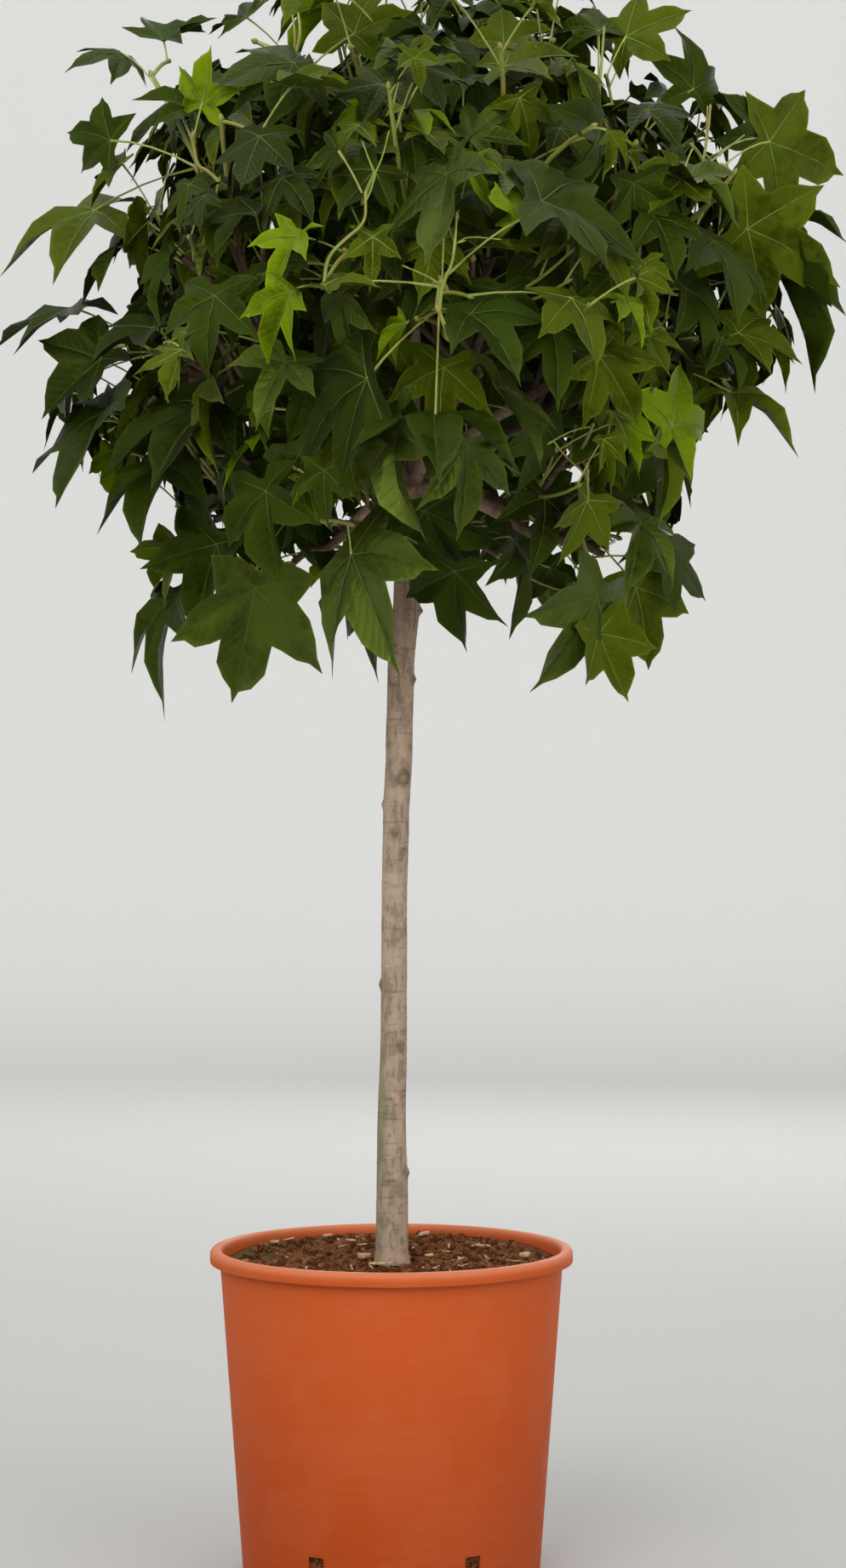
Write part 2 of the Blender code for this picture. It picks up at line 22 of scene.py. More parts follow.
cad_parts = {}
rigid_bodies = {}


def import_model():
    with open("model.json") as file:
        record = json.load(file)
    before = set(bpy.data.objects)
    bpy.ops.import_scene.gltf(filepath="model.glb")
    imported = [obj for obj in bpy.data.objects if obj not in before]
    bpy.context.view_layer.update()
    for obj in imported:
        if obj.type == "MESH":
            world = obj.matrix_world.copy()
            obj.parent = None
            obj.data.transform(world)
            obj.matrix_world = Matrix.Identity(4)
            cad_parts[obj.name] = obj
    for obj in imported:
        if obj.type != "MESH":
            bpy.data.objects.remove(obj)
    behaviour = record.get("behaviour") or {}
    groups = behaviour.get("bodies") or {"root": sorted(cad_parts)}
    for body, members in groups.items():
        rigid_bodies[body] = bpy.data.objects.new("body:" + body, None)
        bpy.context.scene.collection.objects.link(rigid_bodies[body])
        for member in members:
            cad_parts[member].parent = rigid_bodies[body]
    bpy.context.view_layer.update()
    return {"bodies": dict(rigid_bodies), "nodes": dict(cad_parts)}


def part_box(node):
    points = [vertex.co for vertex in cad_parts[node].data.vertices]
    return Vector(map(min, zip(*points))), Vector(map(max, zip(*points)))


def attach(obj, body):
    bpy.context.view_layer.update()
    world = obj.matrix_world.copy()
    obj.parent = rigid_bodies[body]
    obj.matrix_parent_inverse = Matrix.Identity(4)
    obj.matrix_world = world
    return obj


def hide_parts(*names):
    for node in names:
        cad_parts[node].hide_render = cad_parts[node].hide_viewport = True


bl_info = {
    "name": "Potted Half-Standard Sweetgum",
    "version": (1, 0, 0),
    "blender": (4, 5, 0),
    "location": "View3D > Sidebar > Topiary",
    "description": "Builds the pot, compost, stem and leafy head of a ball-headed garden tree",
    "category": "Add Mesh",
}

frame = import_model()
POT_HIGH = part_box("pot")[1]
SOIL_LOW, SOIL_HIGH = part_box("root_ball")
TRUNK_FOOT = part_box("trunk")[0].z
BOUGH_NODES = sorted(name for name in frame["nodes"] if name.startswith("bough"))
FOLIAGE_NODES = sorted(name for name in frame["nodes"] if name.startswith("foliage"))
BODY = next(iter(frame["bodies"]))
UP = Vector((0.0, 0.0, 1.0))

# ---- Dimensions of the pot ------------------------------------------------------------------------

RIM_RADIUS = POT_HIGH.x
POT_HEIGHT = POT_HIGH.z
BASE_RADIUS = 0.1146
NECK_RADIUS = 0.1322
RIM_DEPTH = 0.0105
RIM_OUTER_ROUNDING = 0.0042
RIM_INNER_ROUNDING = 0.0034
RIM_INNER_INSET = 0.0030
LIP_ROUNDING = 0.0009
WALL = 0.0020
UNDER_RIM_GAP = 0.0004
NECK_DROP = 0.002
FLOOR = 0.0030
FLOOR_MIDDLE = 0.06
FOOT_ROUNDING = 0.0025

SLOTS = 6
SLOT_WIDTH = 0.0130
SLOT_TOP = 0.0340
SLOT_INTO_FLOOR = 0.0140
SLOT_FIRST_AZIMUTH = math.radians(-58.2)
SLOT_ROUNDING = 0.0012

# ---- Dimensions of the stem -----------------------------------------------------------------------

# Height, how far the centre line leans out along +X, and radius.
TRUNK_COURSE = (
    (0.2373, 0.0003, 0.0142), (0.2470, 0.0003, 0.0126), (0.3010, 0.0005, 0.0121), (0.3370, 0.0000, 0.0111),
    (0.4190, 0.0018, 0.0101), (0.5170, 0.0022, 0.0098), (0.5760, 0.0033, 0.0101), (0.6340, 0.0058, 0.0103),
    (0.6940, 0.0072, 0.0103), (0.7530, 0.0118, 0.0102), (0.8060, 0.0164, 0.0112),
)
UNION_CENTRE = Vector((0.0170, 0.0, 0.8350))
UNION_RADIUS = 0.0145
TRUNK_SIDES = 48
TRUNK_RING_SPACING = 0.0025
MEAN_RADIUS = 0.0105

# Height, azimuth from the front towards +X in degrees, radius, how far it stands out, and how dark it is.
KNOTS = (
    (0.6120, 26, 0.0056, 0.0014, 0.90), (0.6230, 30, 0.0025, 0.0008, -0.60),
    (0.6885, 78, 0.0034, 0.0022, 0.60), (0.6710, -20, 0.0050, 0.0006, 0.35),
    (0.6560, 24, 0.0048, 0.0008, 0.45), (0.6360, 62, 0.0032, 0.0013, 0.50),
    (0.6380, -58, 0.0042, 0.0014, 0.30), (0.5920, -84, 0.0036, 0.0016, 0.25),
    (0.5700, -4, 0.0026, 0.0004, 0.65), (0.5550, 40, 0.0040, 0.0004, 0.40),
    (0.5450, 30, 0.0050, 0.0006, 0.35), (0.4980, 12, 0.0030, 0.0003, 0.30),
    (0.4530, -86, 0.0042, 0.0020, 0.55), (0.4200, -62, 0.0030, 0.0010, 0.50),
    (0.4060, 36, 0.0036, 0.0008, 0.60), (0.3840, -12, 0.0030, 0.0006, 0.50),
    (0.3080, 74, 0.0040, 0.0022, 0.45), (0.2710, -28, 0.0036, 0.0008, 0.55),
    (0.7415, 84, 0.0034, 0.0034, 0.30), (0.5250, 140, 0.0050, 0.0016, 0.60),
    (0.6500, 170, 0.0050, 0.0018, 0.70), (0.3450, -150, 0.0046, 0.0018, 0.50),
    (0.4700, 165, 0.0040, 0.0012, 0.50),
)
# Height, azimuth and half width in degrees, and how dark: the old leaf scars that ring part of the stem.
SCARS = (
    (0.3655, -20, 38, 0.75), (0.3030, -8, 55, 0.80), (0.3240, -25, 40, 0.35), (0.3190, 30, 30, 0.30),
    (0.4960, 20, 60, 0.30), (0.2640, 0, 50, 0.35), (0.4420, -40, 40, 0.25), (0.6660, 0, 70, 0.30),
    (0.5290, 10, 60, 0.25), (0.5820, 40, 50, 0.30), (0.3900, 150, 60, 0.60), (0.4900, -160, 60, 0.50),
    (0.6000, 120, 60, 0.60),
)
SCAR_THICKNESS = 0.0011
SCAR_WANDER = 0.0006
SCAR_LIFT = 0.0004
SCAR_RIDGE_BELOW = 0.0022
SCAR_RIDGE_THICKNESS = 0.0018
ALGAE_AZIMUTH = math.radians(190)
# Height, spread and strength of each band of algae.
ALGAE_BANDS = ((0.345, 0.055, 1.0), (0.245, 0.020, 0.5))
# Degrees over the level at which the round of the graft union is ringed.
UNION_TURNS = range(-50, 86, 9)

# ---- Dimensions of the head -----------------------------------------------------------------------

# Height and reach of the leaf tips from the head's axis, from the hanging skirt up to the top.
HEAD_OUTLINE = (
    (0.664, 0.175), (0.685, 0.202), (0.710, 0.216), (0.775, 0.226), (0.835, 0.262), (0.868, 0.302),
    (0.930, 0.332), (0.965, 0.345), (1.030, 0.345), (1.095, 0.325), (1.160, 0.286), (1.195, 0.252),
    (1.218, 0.190), (1.235, 0.080), (1.239, 0.000),
)
SHOOTS_ABOVE = 0.685
HEAD_AXIS = Vector((0.0200, 0.0, 0.0))
HEAD_CORE = Vector((0.0200, 0.0, 0.9250))

# Name, how many masses stand in the ring, its radius, its height, its first azimuth,
# and how far every other seat is shifted: outwards, up and round.
MASS_RINGS = (
    ("skirt", 6, 0.140, 0.795, math.radians(12), (0.012, 0.020, math.radians(6))),
    ("shoulder", 6, 0.195, 0.940, math.radians(45), (0.012, 0.050, math.radians(-7))),
    ("top", 1, 0.000, 1.150, 0.0, (0.0, 0.0, 0.0)),
)
BOUGH_REACH = {"skirt": 0.075, "shoulder": 0.105, "top": 0.150}
BOUGH_RADII = (0.0052, 0.0041)
BOUGH_LIFT = 0.25
BOUGH_BEND_SHARE = 0.45
BOUGH_ROOT_SHARE = 0.6
BOUGH_RINGS = 24
BOUGH_SIDES = 16
BOUGH_RELIEF_SHARE = 0.5

STEM_RADII = (0.0041, 0.0030)
STEM_STRAIGHT = 0.035
STEM_BEND_SHARE = 0.75
STEM_BEND_PUSH = 0.004
STEM_PAST_SEAT = 0.012
STEM_STATIONS = 20
FIRST_SHOOT_STATION = 3
STEM_JOINTS = 12

SHOOTS = 98
SHOOT_INSETS = (0.068, 0.074, 0.066, 0.070, 0.115)
SHOOT_RADII = (0.0024, 0.0016)
SHOOT_POINTS = 10
SHOOT_BOW = 0.10
SHOOT_TILT = 0.06
SHOOT_FORWARD = 0.60
SHOOT_END_ROOM = 0.012
SHOOT_END_STEP = 0.1
WOODY_SHARE = 0.55
SPRIG_SHARES = (0.38, 0.62)
SPRIG_LENGTH = (0.045, 0.080)
SPRIG_RADII = (0.0016, 0.0011)
SPRIG_POINTS = 6
SPRIG_WOODY_SHARE = 0.2
SPRIG_RISE = 0.45
# How much a side twig follows its shoot, turns to a side of it and leans out of the head.
SPRIG_WEIGHTS = (0.8, 0.9, 0.4)
# From what share of their length shoots and side twigs carry leaves.
SHOOT_FIRST_LEAF = 0.34
SPRIG_FIRST_LEAF = 0.45
# A bud's places along its axis, and how far it swells there, as a share of its shoot's radius.
BUD_STEPS = ((0.0, 1.0), (0.0018, 1.45), (0.0040, 1.2), (0.0062, 0.2))
GOLDEN_ANGLE = math.pi * (3 - math.sqrt(5))

# How much a stalk follows its shoot, turns to a side of it, leans out of the head and rises.
STALK_WEIGHTS = (0.45, 0.90, 0.55, 0.20)
# How much a blade faces level outwards, away from the head's core, up and along its stalk.
BLADE_WEIGHTS = (0.45, 0.55, 0.55, 0.30)
BLADE_WANDER = 0.6
# How much a blade's tip follows its stalk, leans out of the head and hangs down.
HANG_WEIGHTS = (0.40, 0.35, 0.80)
STALK_LENGTH = (0.040, 0.075)
STALK_RADII = (0.0011, 0.0007, 0.0007, 0.0008, 0.0010)
STALK_LONGEST = 0.095
STALK_BOW = 0.10
LINK_BOW = 0.12
LINK_POINTS = 7
LINK_SWELL = 1.1
LINK_SHORTEST = 0.0015
TWIG_REST_LEAST = 0.02
LEAF_TRIES = 26
LEAF_SHRINKS = (1.00, 0.84, 0.68)
LEAF_SHARE_MOST = 0.985
# Leaves whose hubs lie farther apart can't touch.
OVERLAP_REACH = 0.18

# Half of a leaf's margin, from the middle lobe's tip round to the base: degrees, and reach as a share of
# the leaf's length.
HALF_MARGIN = (
    (0, 1.00), (2.5, 0.885), (9.5, 0.81), (19, 0.69), (29, 0.48),
    (36, 0.55), (45, 0.675), (53, 0.745), (57, 0.88), (61, 0.745), (69, 0.65), (78, 0.54), (87, 0.39),
    (97, 0.445), (107, 0.52), (116, 0.64), (125, 0.51), (139, 0.38), (158, 0.17),
)
RING_SHARES = (0.52, 1.00)
WAVES_ROUND = 7.0
# Degrees of each lobe's midrib from the middle one, and how far its vein runs, as a share of the length.
VEINS = ((0, 0.92), (57, 0.76), (-57, 0.76), (116, 0.50), (-116, 0.50))
LOBE_ANGLES = np.radians([degrees for degrees, _ in VEINS])
VEIN_STATIONS = (0.0, 0.33, 0.66, 1.0)
VEIN_RADII = (0.0007, 0.0004, 0.0003, 0.0001)

TONES = ("dark", "deep", "mid", "grey", "light", "young")
# Roughness and specular level of the grey leaves with a painted sheen and of the others, and the tint of
# their highlights.
WAXY_SHEEN = (0.40, 0.45)
PLAIN_SHEEN = (0.52, 0.20)
SHEEN_TINT = (0.75, 1.0, 0.14, 1.0)
# Leaves deeper than this inside the head's outline take the inner tones, lighter greens painted as light
# against the shade inside the head.
INNER_DEPTH = 0.13
INNER_PAINTED_LIGHT_TONES = (("mid", 0.45), ("light", 0.33), ("grey", 0.12), ("deep", 0.10))
OUTER_TONES = (("dark", 0.20), ("mid", 0.36), ("grey", 0.16), ("light", 0.10), ("deep", 0.18))
# Leaves grow younger from a share of the twig's length on, over a further share.
YOUNG_FROM = 0.80
YOUNG_OVER = 0.20
FRESH_AGE = 0.75
FRESH_CHANCE = 0.75
YOUNG_CHANCE = 0.14
SEED = 7

# ---- What shows from the front --------------------------------------------------------------------

CAMERA_PLACE = Vector((0.0243, -2.54, 0.6077))
CAMERA_LENS = 75.46
HUB_INSET = 0.055
SIDE_LOBE = math.radians(57)
SIDE_LOBE_SHARE = 0.88
SEEN_LENGTH = (0.048, 0.106)
SEEN_ROUNDS = 6
SEEN_STEP = 0.001
# How firmly the fit holds back the three turns, the growth and the spreading of a leaf, in square metres.
SEEN_HOLDS = (0.00004, 0.00004, 0.00004, 0.0020, 0.0006)
SEEN_MOST = 1.14
YOUNG_AGE = 0.5
STALK_FOOT_BEHIND = 0.93
STALK_FOOT_SWELL = 1.3
# How leaves at the front tend to face, besides outwards.
SEEN_FACING = Vector((0.0, -0.4, 0.5))
SCREEN_HALF_WIDTH = 0.005

# Places are in millimetres across and up from the pot's foot, as they look against the plane of the stem.
# A leaf has its hub, the tip of its middle lobe, the tip of one side lobe, and on which hand of the middle
# lobe that is (1 is counter-clockwise). Then how near the front of the head it hangs, from 0 at the stem's
# plane to 1, and its green, which is partly painted light and shade: leaves that hang in shade may get a
# lighter green, and leaves that look shaded a darker one. Where its stalk leaves the shoot follows if that
# shows, or None. A last value is how sharply a leaf that hangs folded is folded along its middle lobe,
# in radians.
FRONT_LEAVES = (
    ((-31, 785), (7, 691), (37, 772), 1, 1.00, "grey", (-34, 809)),
    ((-105, 759), (-124, 670), (-54, 694), 1, 0.92, "grey", None, 0.45),
    ((-164, 791), (-184, 753), (-174, 745), 1, 0.35, "light", None, 0.8),
    ((-167, 753), (-175, 658), (-153, 715), 1, 0.30, "mid"),
    ((49, 772), (58, 709), (90, 730), 1, 0.90, "mid"), ((96, 793), (91, 722), (72, 760), -1, 0.80, "deep"),
    ((159, 753), (107, 679), (100, 737), -1, 0.85, "grey"),
    ((189, 760), (199, 696), (166, 713), -1, 0.75, "light"),
    ((160, 724), (183, 672), (149, 684), -1, 0.78, "light", None, 0.5),
    ((192, 810), (179, 750), (156, 799), -1, 0.85, "grey"),
    ((212, 788), (243, 748), (235, 793), 1, 0.60, "mid"),
    ((-135, 793), (-153, 719), (-116, 740), 1, 0.70, "mid"),
    ((-23, 753), (-11, 688), (-34, 717), -1, 0.60, "mid"),
    ((34, 893), (37, 840), (100, 847), 1, 0.98, "mid", (37, 973)),
    ((-19, 921), (-70, 852), (-64, 924), -1, 0.94, "deep", (35, 974)),
    ((5, 880), (28, 794), (-18, 822), -1, 0.97, "grey"), ((58, 870), (51, 796), (91, 828), 1, 0.93, "grey"),
    ((-97, 834), (-87, 761), (-54, 808), 1, 0.95, "mid"),
    ((81, 914), (117, 847), (128, 880), 1, 0.90, "grey"),
    ((61, 971), (100, 914), (124, 960), 1, 0.86, "dark"),
    ((151, 827), (128, 777), (124, 805), -1, 0.90, "light", (151, 848)),
    ((210, 872), (205, 805), (231, 822), 1, 0.62, "light", None, 0.3),
    ((217, 884), (222, 941), (242, 877), -1, 0.66, "young", (201, 911), 0.2),
    ((-82, 934), (-105, 880), (-58, 905), 1, 0.85, "grey"),
    ((-91, 898), (-116, 902), (-105, 890), 1, 0.88, "light"),
    ((-39, 987), (-28, 932), (-12, 958), 1, 0.88, "grey"),
    ((12, 964), (1, 930), (-3, 954), -1, 0.90, "young"),
    ((-77, 989), (-97, 926), (-118, 966), -1, 0.97, "young"),
    ((-54, 992), (-9, 991), (-20, 1002), 1, 0.96, "light", (37, 992), 0.3),
    ((139, 983), (158, 924), (182, 952), 1, 0.92, "light", (58, 985)),
    ((160, 939), (191, 883), (147, 882), -1, 0.88, "light"),
    ((179, 982), (192, 941), (176, 960), -1, 0.84, "young"),
    ((151, 939), (195, 931), (187, 944), 1, 0.80, "light"),
    ((118, 885), (92, 826), (72, 859), -1, 0.72, "dark"),
    ((118, 829), (105, 766), (145, 786), 1, 0.76, "deep"),
    ((26, 819), (66, 760), (85, 793), 1, 0.70, "dark"),
    ((-229, 1051), (-302, 1000), (-261, 993), 1, 0.30, "light", (-150, 1084)),
    ((-247, 976), (-306, 944), (-292, 939), 1, 0.25, "mid"),
    ((-204, 1026), (-240, 976), (-226, 988), 1, 0.30, "mid"),
    ((-219, 898), (-259, 821), (-277, 848), -1, 0.45, "mid"),
    ((-224, 936), (-270, 890), (-237, 898), 1, 0.42, "deep"),
    ((-141, 899), (-224, 844), (-192, 890), -1, 0.65, "deep"),
    ((-174, 855), (-194, 785), (-227, 801), -1, 0.60, "mid"),
    ((-137, 985), (-141, 918), (-178, 951), -1, 0.85, "mid"),
    ((-135, 924), (-132, 844), (-150, 872), -1, 0.70, "light"),
    ((-168, 1016), (-179, 957), (-195, 993), -1, 0.60, "mid"),
    ((-184, 960), (-234, 931), (-224, 960), -1, 0.50, "deep"),
    ((-112, 760), (-126, 745), (-133, 760), -1, 0.80, "young"),
    ((-206, 1171), (-252, 1157), (-243, 1174), -1, 0.50, "mid", (-178, 1140)),
    ((-176, 1182), (-143, 1189), (-191, 1199), 1, 0.45, "mid", (-173, 1166)),
    ((-146, 1134), (-139, 1179), (-165, 1163), 1, 0.80, "young", (-153, 1106), 0.05),
    ((-154, 1128), (-200, 1137), (-184, 1115), 1, 0.72, "mid", (-153, 1106)),
    ((-217, 1105), (-252, 1110), (-239, 1081), 1, 0.60, "mid", (-150, 1084)),
    ((-208, 1087), (-231, 1052), (-229, 1073), -1, 0.45, "light"),
    ((-195, 1042), (-214, 1013), (-200, 1019), 1, 0.35, "light"),
    ((-188, 1042), (-186, 983), (-202, 1006), -1, 0.40, "light"),
    ((-76, 1165), (-138, 1143), (-121, 1173), -1, 0.70, "mid"),
    ((-29, 1187), (-5, 1233), (-54, 1212), 1, 0.50, "light", (-64, 1160)),
    ((-78, 1146), (-18, 1140), (-45, 1161), 1, 0.85, "light", (-103, 1108)),
    ((-102, 1108), (-116, 1066), (-74, 1079), 1, 0.85, "deep"),
    ((-41, 1097), (-62, 1089), (-55, 1106), -1, 0.92, "mid", (-21, 1061)),
    ((-112, 1200), (-120, 1196), (-105, 1210), -1, 0.30, "mid"),
    ((43, 1079), (26, 1008), (-8, 1024), -1, 0.92, "grey", (39, 997)),
    ((14, 1128), (26, 1102), (-3, 1122), -1, 0.80, "young"),
    ((26, 1110), (57, 1091), (39, 1094), -1, 0.86, "light"),
    ((101, 1045), (100, 1068), (89, 1048), 1, 0.95, "young", (42, 1000)),
    ((116, 1058), (195, 1008), (158, 1068), 1, 0.92, "mid", None, 0.5),
    ((85, 1079), (118, 1052), (100, 1087), 1, 0.88, "grey"),
    ((160, 1110), (118, 1134), (122, 1068), 1, 0.85, "mid"),
    ((99, 1138), (107, 1087), (125, 1115), 1, 0.80, "light"),
    ((62, 1108), (96, 1131), (60, 1136), 1, 0.75, "grey"),
    ((87, 1162), (146, 1170), (125, 1151), -1, 0.72, "light"),
    ((66, 1199), (115, 1197), (92, 1204), 1, 0.35, "mid"),
    ((87, 1179), (126, 1189), (112, 1175), -1, 0.60, "light"),
    ((56, 1151), (96, 1133), (85, 1153), 1, 0.70, "deep"),
    ((181, 1185), (232, 1206), (216, 1166), -1, 0.45, "light", (166, 1154)),
    ((160, 1190), (145, 1204), (128, 1189), 1, 0.40, "mid", (160, 1128)),
    ((233, 1145), (217, 1195), (250, 1154), -1, 0.40, "mid"),
    ((283, 1107), (252, 1144), (270, 1143), -1, 0.45, "mid", (241, 1087)),
    ((292, 1104), (350, 1076), (319, 1147), 1, 0.40, "light", (256, 1085)),
    ((224, 1075), (268, 1037), (264, 1079), 1, 0.75, "grey", (233, 1100)),
    ((224, 1075), (197, 1048), (186, 1083), -1, 0.74, "light"),
    ((275, 1037), (348, 991), (287, 962), -1, 0.55, "light"),
    ((249, 1027), (268, 961), (226, 1002), -1, 0.62, "mid"),
    ((300, 1000), (327, 910), (351, 969), 1, 0.40, "mid", None, 0.8),
    ((268, 956), (318, 932), (293, 923), -1, 0.45, "light"),
    ((262, 910), (314, 860), (268, 868), -1, 0.42, "light"),
    ((255, 952), (268, 907), (242, 924), -1, 0.52, "mid"),
    ((227, 991), (243, 924), (217, 951), -1, 0.55, "mid"),
    ((309, 1046), (351, 1026), (339, 1041), 1, 0.30, "mid"),
    ((204, 1046), (220, 997), (184, 1016), -1, 0.70, "mid"),
    ((187, 1072), (189, 1016), (161, 1036), -1, 0.75, "mid"),
    ((66, 1023), (118, 1016), (92, 1035), 1, 0.80, "light"),
    ((-105, 1049), (-138, 1016), (-145, 1041), -1, 0.78, "deep"),
    ((-85, 1076), (-59, 1036), (-45, 1072), 1, 0.80, "deep"),
    ((-13, 1082), (-39, 1049), (-49, 1079), -1, 0.84, "deep"),
    ((-7, 1148), (-26, 1115), (-39, 1141), -1, 0.80, "deep"),
    ((197, 1128), (224, 1095), (233, 1122), 1, 0.65, "deep"),
    ((26, 1187), (-13, 1174), (0, 1200), -1, 0.55, "mid"),
)
# Courses of the fresh green shoots and bare stalks that show, how near the front they are,
# and their radii at both ends in millimetres.
FRONT_SHOOTS = (
    (((37, 972), (38, 986), (41, 998), (47, 1010), (49, 1026), (50, 1044)), 0.97, 1.5, 0.9),
    (((36, 995), (26, 1001), (14, 1006)), 0.96, 0.8, 0.5),
    (((49, 1025), (45, 1035), (43, 1047)), 0.96, 0.7, 0.5),
    (((51, 1026), (59, 1031), (79, 1029)), 0.96, 0.6, 0.4),
    (((-52, 994), (-50, 1014), (-37, 1028), (-20, 1041), (-20, 1061)), 0.93, 1.5, 1.0),
    (((-20, 1058), (-16, 1066), (-14, 1073)), 0.93, 0.8, 0.5),
    (((-13, 1079), (-17, 1089), (-21, 1100)), 0.90, 0.7, 0.5),
    (((-13, 1079), (-7, 1092), (-3, 1108)), 0.90, 0.7, 0.5),
    (((-130, 1070), (-142, 1082), (-150, 1085), (-153, 1103), (-160, 1120)), 0.72, 1.6, 0.9),
    (((-80, 1161), (-72, 1177), (-70, 1194), (-76, 1221)), 0.62, 1.5, 1.0),
    (((-76, 1165), (-74, 1187), (-78, 1210)), 0.60, 1.1, 0.7),
    (((160, 1115), (160, 1141), (162, 1161), (164, 1189)), 0.60, 1.3, 0.9),
    (((238, 1079), (242, 1095), (245, 1115), (246, 1129)), 0.62, 1.2, 0.9),
    (((241, 1087), (243, 1108), (244, 1128)), 0.62, 0.8, 0.5),
    (((247, 1089), (258, 1098), (271, 1108)), 0.60, 0.8, 0.5),
    (((150, 815), (152, 829), (151, 844), (151, 852)), 0.90, 1.4, 0.9),
    (((125, 873), (134, 861), (150, 847)), 0.90, 0.6, 0.6),
)
# The edge of the dense part of the head. Only the leaves above stand out past it.
FRONT_EDGE = (
    (-161, 753), (-171, 793), (-204, 811), (-229, 839), (-263, 845), (-275, 885), (-259, 924), (-220, 960),
    (-197, 990), (-205, 1023), (-207, 1082), (-212, 1115), (-171, 1143), (-159, 1166), (-89, 1177),
    (-108, 1207), (-85, 1240), (-20, 1260), (66, 1263), (132, 1246), (171, 1223), (224, 1207), (247, 1153),
    (289, 1143), (317, 1108), (330, 1062), (325, 1016), (312, 964), (312, 918), (293, 885), (249, 884),
    (225, 845), (231, 806), (238, 760), (217, 743), (184, 728), (132, 726), (95, 738), (66, 752),
    (26, 760), (-23, 755), (-58, 728), (-130, 724), (-150, 739),
)
# Openings that the sky shows through: across, up and radius.
FRONT_OPENINGS = (
    (-49, 1177, 15), (2, 1206, 9), (174, 1148, 8), (279, 1077, 13), (158, 776, 8), (79, 760, 7),
    (-153, 739, 7), (-174, 826, 7), (-187, 1073, 9), (-212, 929, 9),
)


# ---- What a user would change ---------------------------------------------------------------------


def colour(name, description, default):
    return FloatVectorProperty(
        name=name, description=description, subtype="COLOR", size=3, min=0.0, max=1.0, default=default
    )


def distance(name, description, default, least=0.0):
    return FloatProperty(name=name, description=description, default=default, min=least, unit="LENGTH")


def power(name, description, default):
    return FloatProperty(name=name, description=description, default=default, unit="POWER")


def amount(name, description, default, least=0):
    return IntProperty(name=name, description=description, default=default, min=least)


class PotFinish(PropertyGroup):
    steps: amount("Steps round", "How many flats the wall is turned in", 144, 24)
    plastic: colour("Plastic", "Colour of the moulded plastic", (0.495, 0.085, 0.018))
    # Painted shade that darkens the plastic towards the foot.
    shade: colour("Shade", "Colour towards the foot", (0.392, 0.059, 0.011))
    # Partly dusty bloom, partly a painted highlight on the rim.
    dust_and_painted_highlight: colour("Dust", "Pale bloom on the rim", (0.68, 0.27, 0.15))


class CompostFinish(PropertyGroup):
    lumps: amount("Lumps", "How many loose crumbs lie on top", 1500)
    chips: amount("Chips", "How many slivers of wood lie on top", 50)
    relief: distance("Relief", "How rough the top is", 0.0044)
    peat: colour("Peat", "Dark, damp compost", (0.042, 0.0135, 0.004))
    fibre: colour("Fibre", "Dry, reddish coir", (0.172, 0.057, 0.0145))
    wood: colour("Wood", "Pale slivers", (0.42, 0.27, 0.16))
    moss: colour("Moss", "Green film at the edge", (0.050, 0.065, 0.012))


class BarkFinish(PropertyGroup):
    relief: distance("Relief", "Depth of the bark's furrows", 0.00032)
    pale: colour("Pale", "Dry, sunlit bark", (0.338, 0.252, 0.180))
    brown_and_painted_light: colour("Brown", "Younger bark higher up", (0.37, 0.243, 0.166))
    # Browner young bark, and lighter as painted light where the head shades the top of the stem.
    dark: colour("Dark", "Knots, scars and furrows", (0.034, 0.020, 0.009))
    algae: colour("Algae", "Green film low on the stem", (0.16, 0.19, 0.09))


class HeadFinish(PropertyGroup):
    leaf_shortest: distance("Shortest leaf", "Middle lobe of a small leaf", 0.052, 0.01)
    leaf_longest: distance("Longest leaf", "Middle lobe of a large leaf", 0.082, 0.01)
    spacing: distance("Leaf spacing", "Distance between leaves on a shoot", 0.0145, 0.005)
    dark: colour("Dark", "Oldest leaves", (0.016, 0.029, 0.002))
    # Partly painted shade: as dark as mature leaves look where they hang in shade.
    deep: colour("Deep", "Mature leaves", (0.0082, 0.0132, 0.0007))
    mid: colour("Mid", "Leaves in full growth", (0.0140, 0.0245, 0.0008))
    # A grey-green whose paleness is a painted sheen; these leaves also get a stronger real sheen.
    grey: colour("Grey", "Mature leaves with a waxy bloom", (0.0255, 0.038, 0.0032))
    light: colour("Light", "Fresh leaves", (0.041, 0.057, 0.001))
    young: colour("Young", "Newest leaves at the shoot tips", (0.092, 0.140, 0.001))
    vein: colour("Vein", "Veins of the leaves", (0.070, 0.095, 0.014))
    stalk: colour("Stalk", "Leaf stalks", (0.25, 0.28, 0.070))
    shoot: colour("Shoot", "This year's green shoots", (0.20, 0.25, 0.036))
    twig: colour("Twig", "Last year's woody twigs", (0.085, 0.052, 0.030))


class StageFinish(PropertyGroup):
    floor: colour("Floor", "Plain pale floor", (0.46, 0.46, 0.45))
    surround: colour("Surround", "Pale wall round the floor", (0.74, 0.74, 0.73))
    key_power: power("Key light", "Main softbox", 67.0)
    fill_power: power("Fill light", "Side softbox", 35.0)
    top_power: power("Top light", "Overhead softbox", 30.0)
    back_power: power("Back light", "Rear softbox", 44.0)
    wall_power: power("Wall light", "Each wall lamp", 96.0)


class Topiary(PropertyGroup):
    pot: PointerProperty(type=PotFinish)
    compost: PointerProperty(type=CompostFinish)
    bark: PointerProperty(type=BarkFinish)
    head: PointerProperty(type=HeadFinish)
    stage: PointerProperty(type=StageFinish)


# ---- Node helpers and shared effects --------------------------------------------------------------


def opaque(value):
    """A plain colour with full alpha. A socket stays as it is."""
    return value if isinstance(value, bpy.types.NodeSocket) else (*value, 1.0)


def brighter(base, factor, lift=0.0):
    return [min(1.0, part * factor + lift) for part in base]


def blended(first, second, share):
    return [a * (1.0 - share) + b * share for a, b in zip(first, second)]


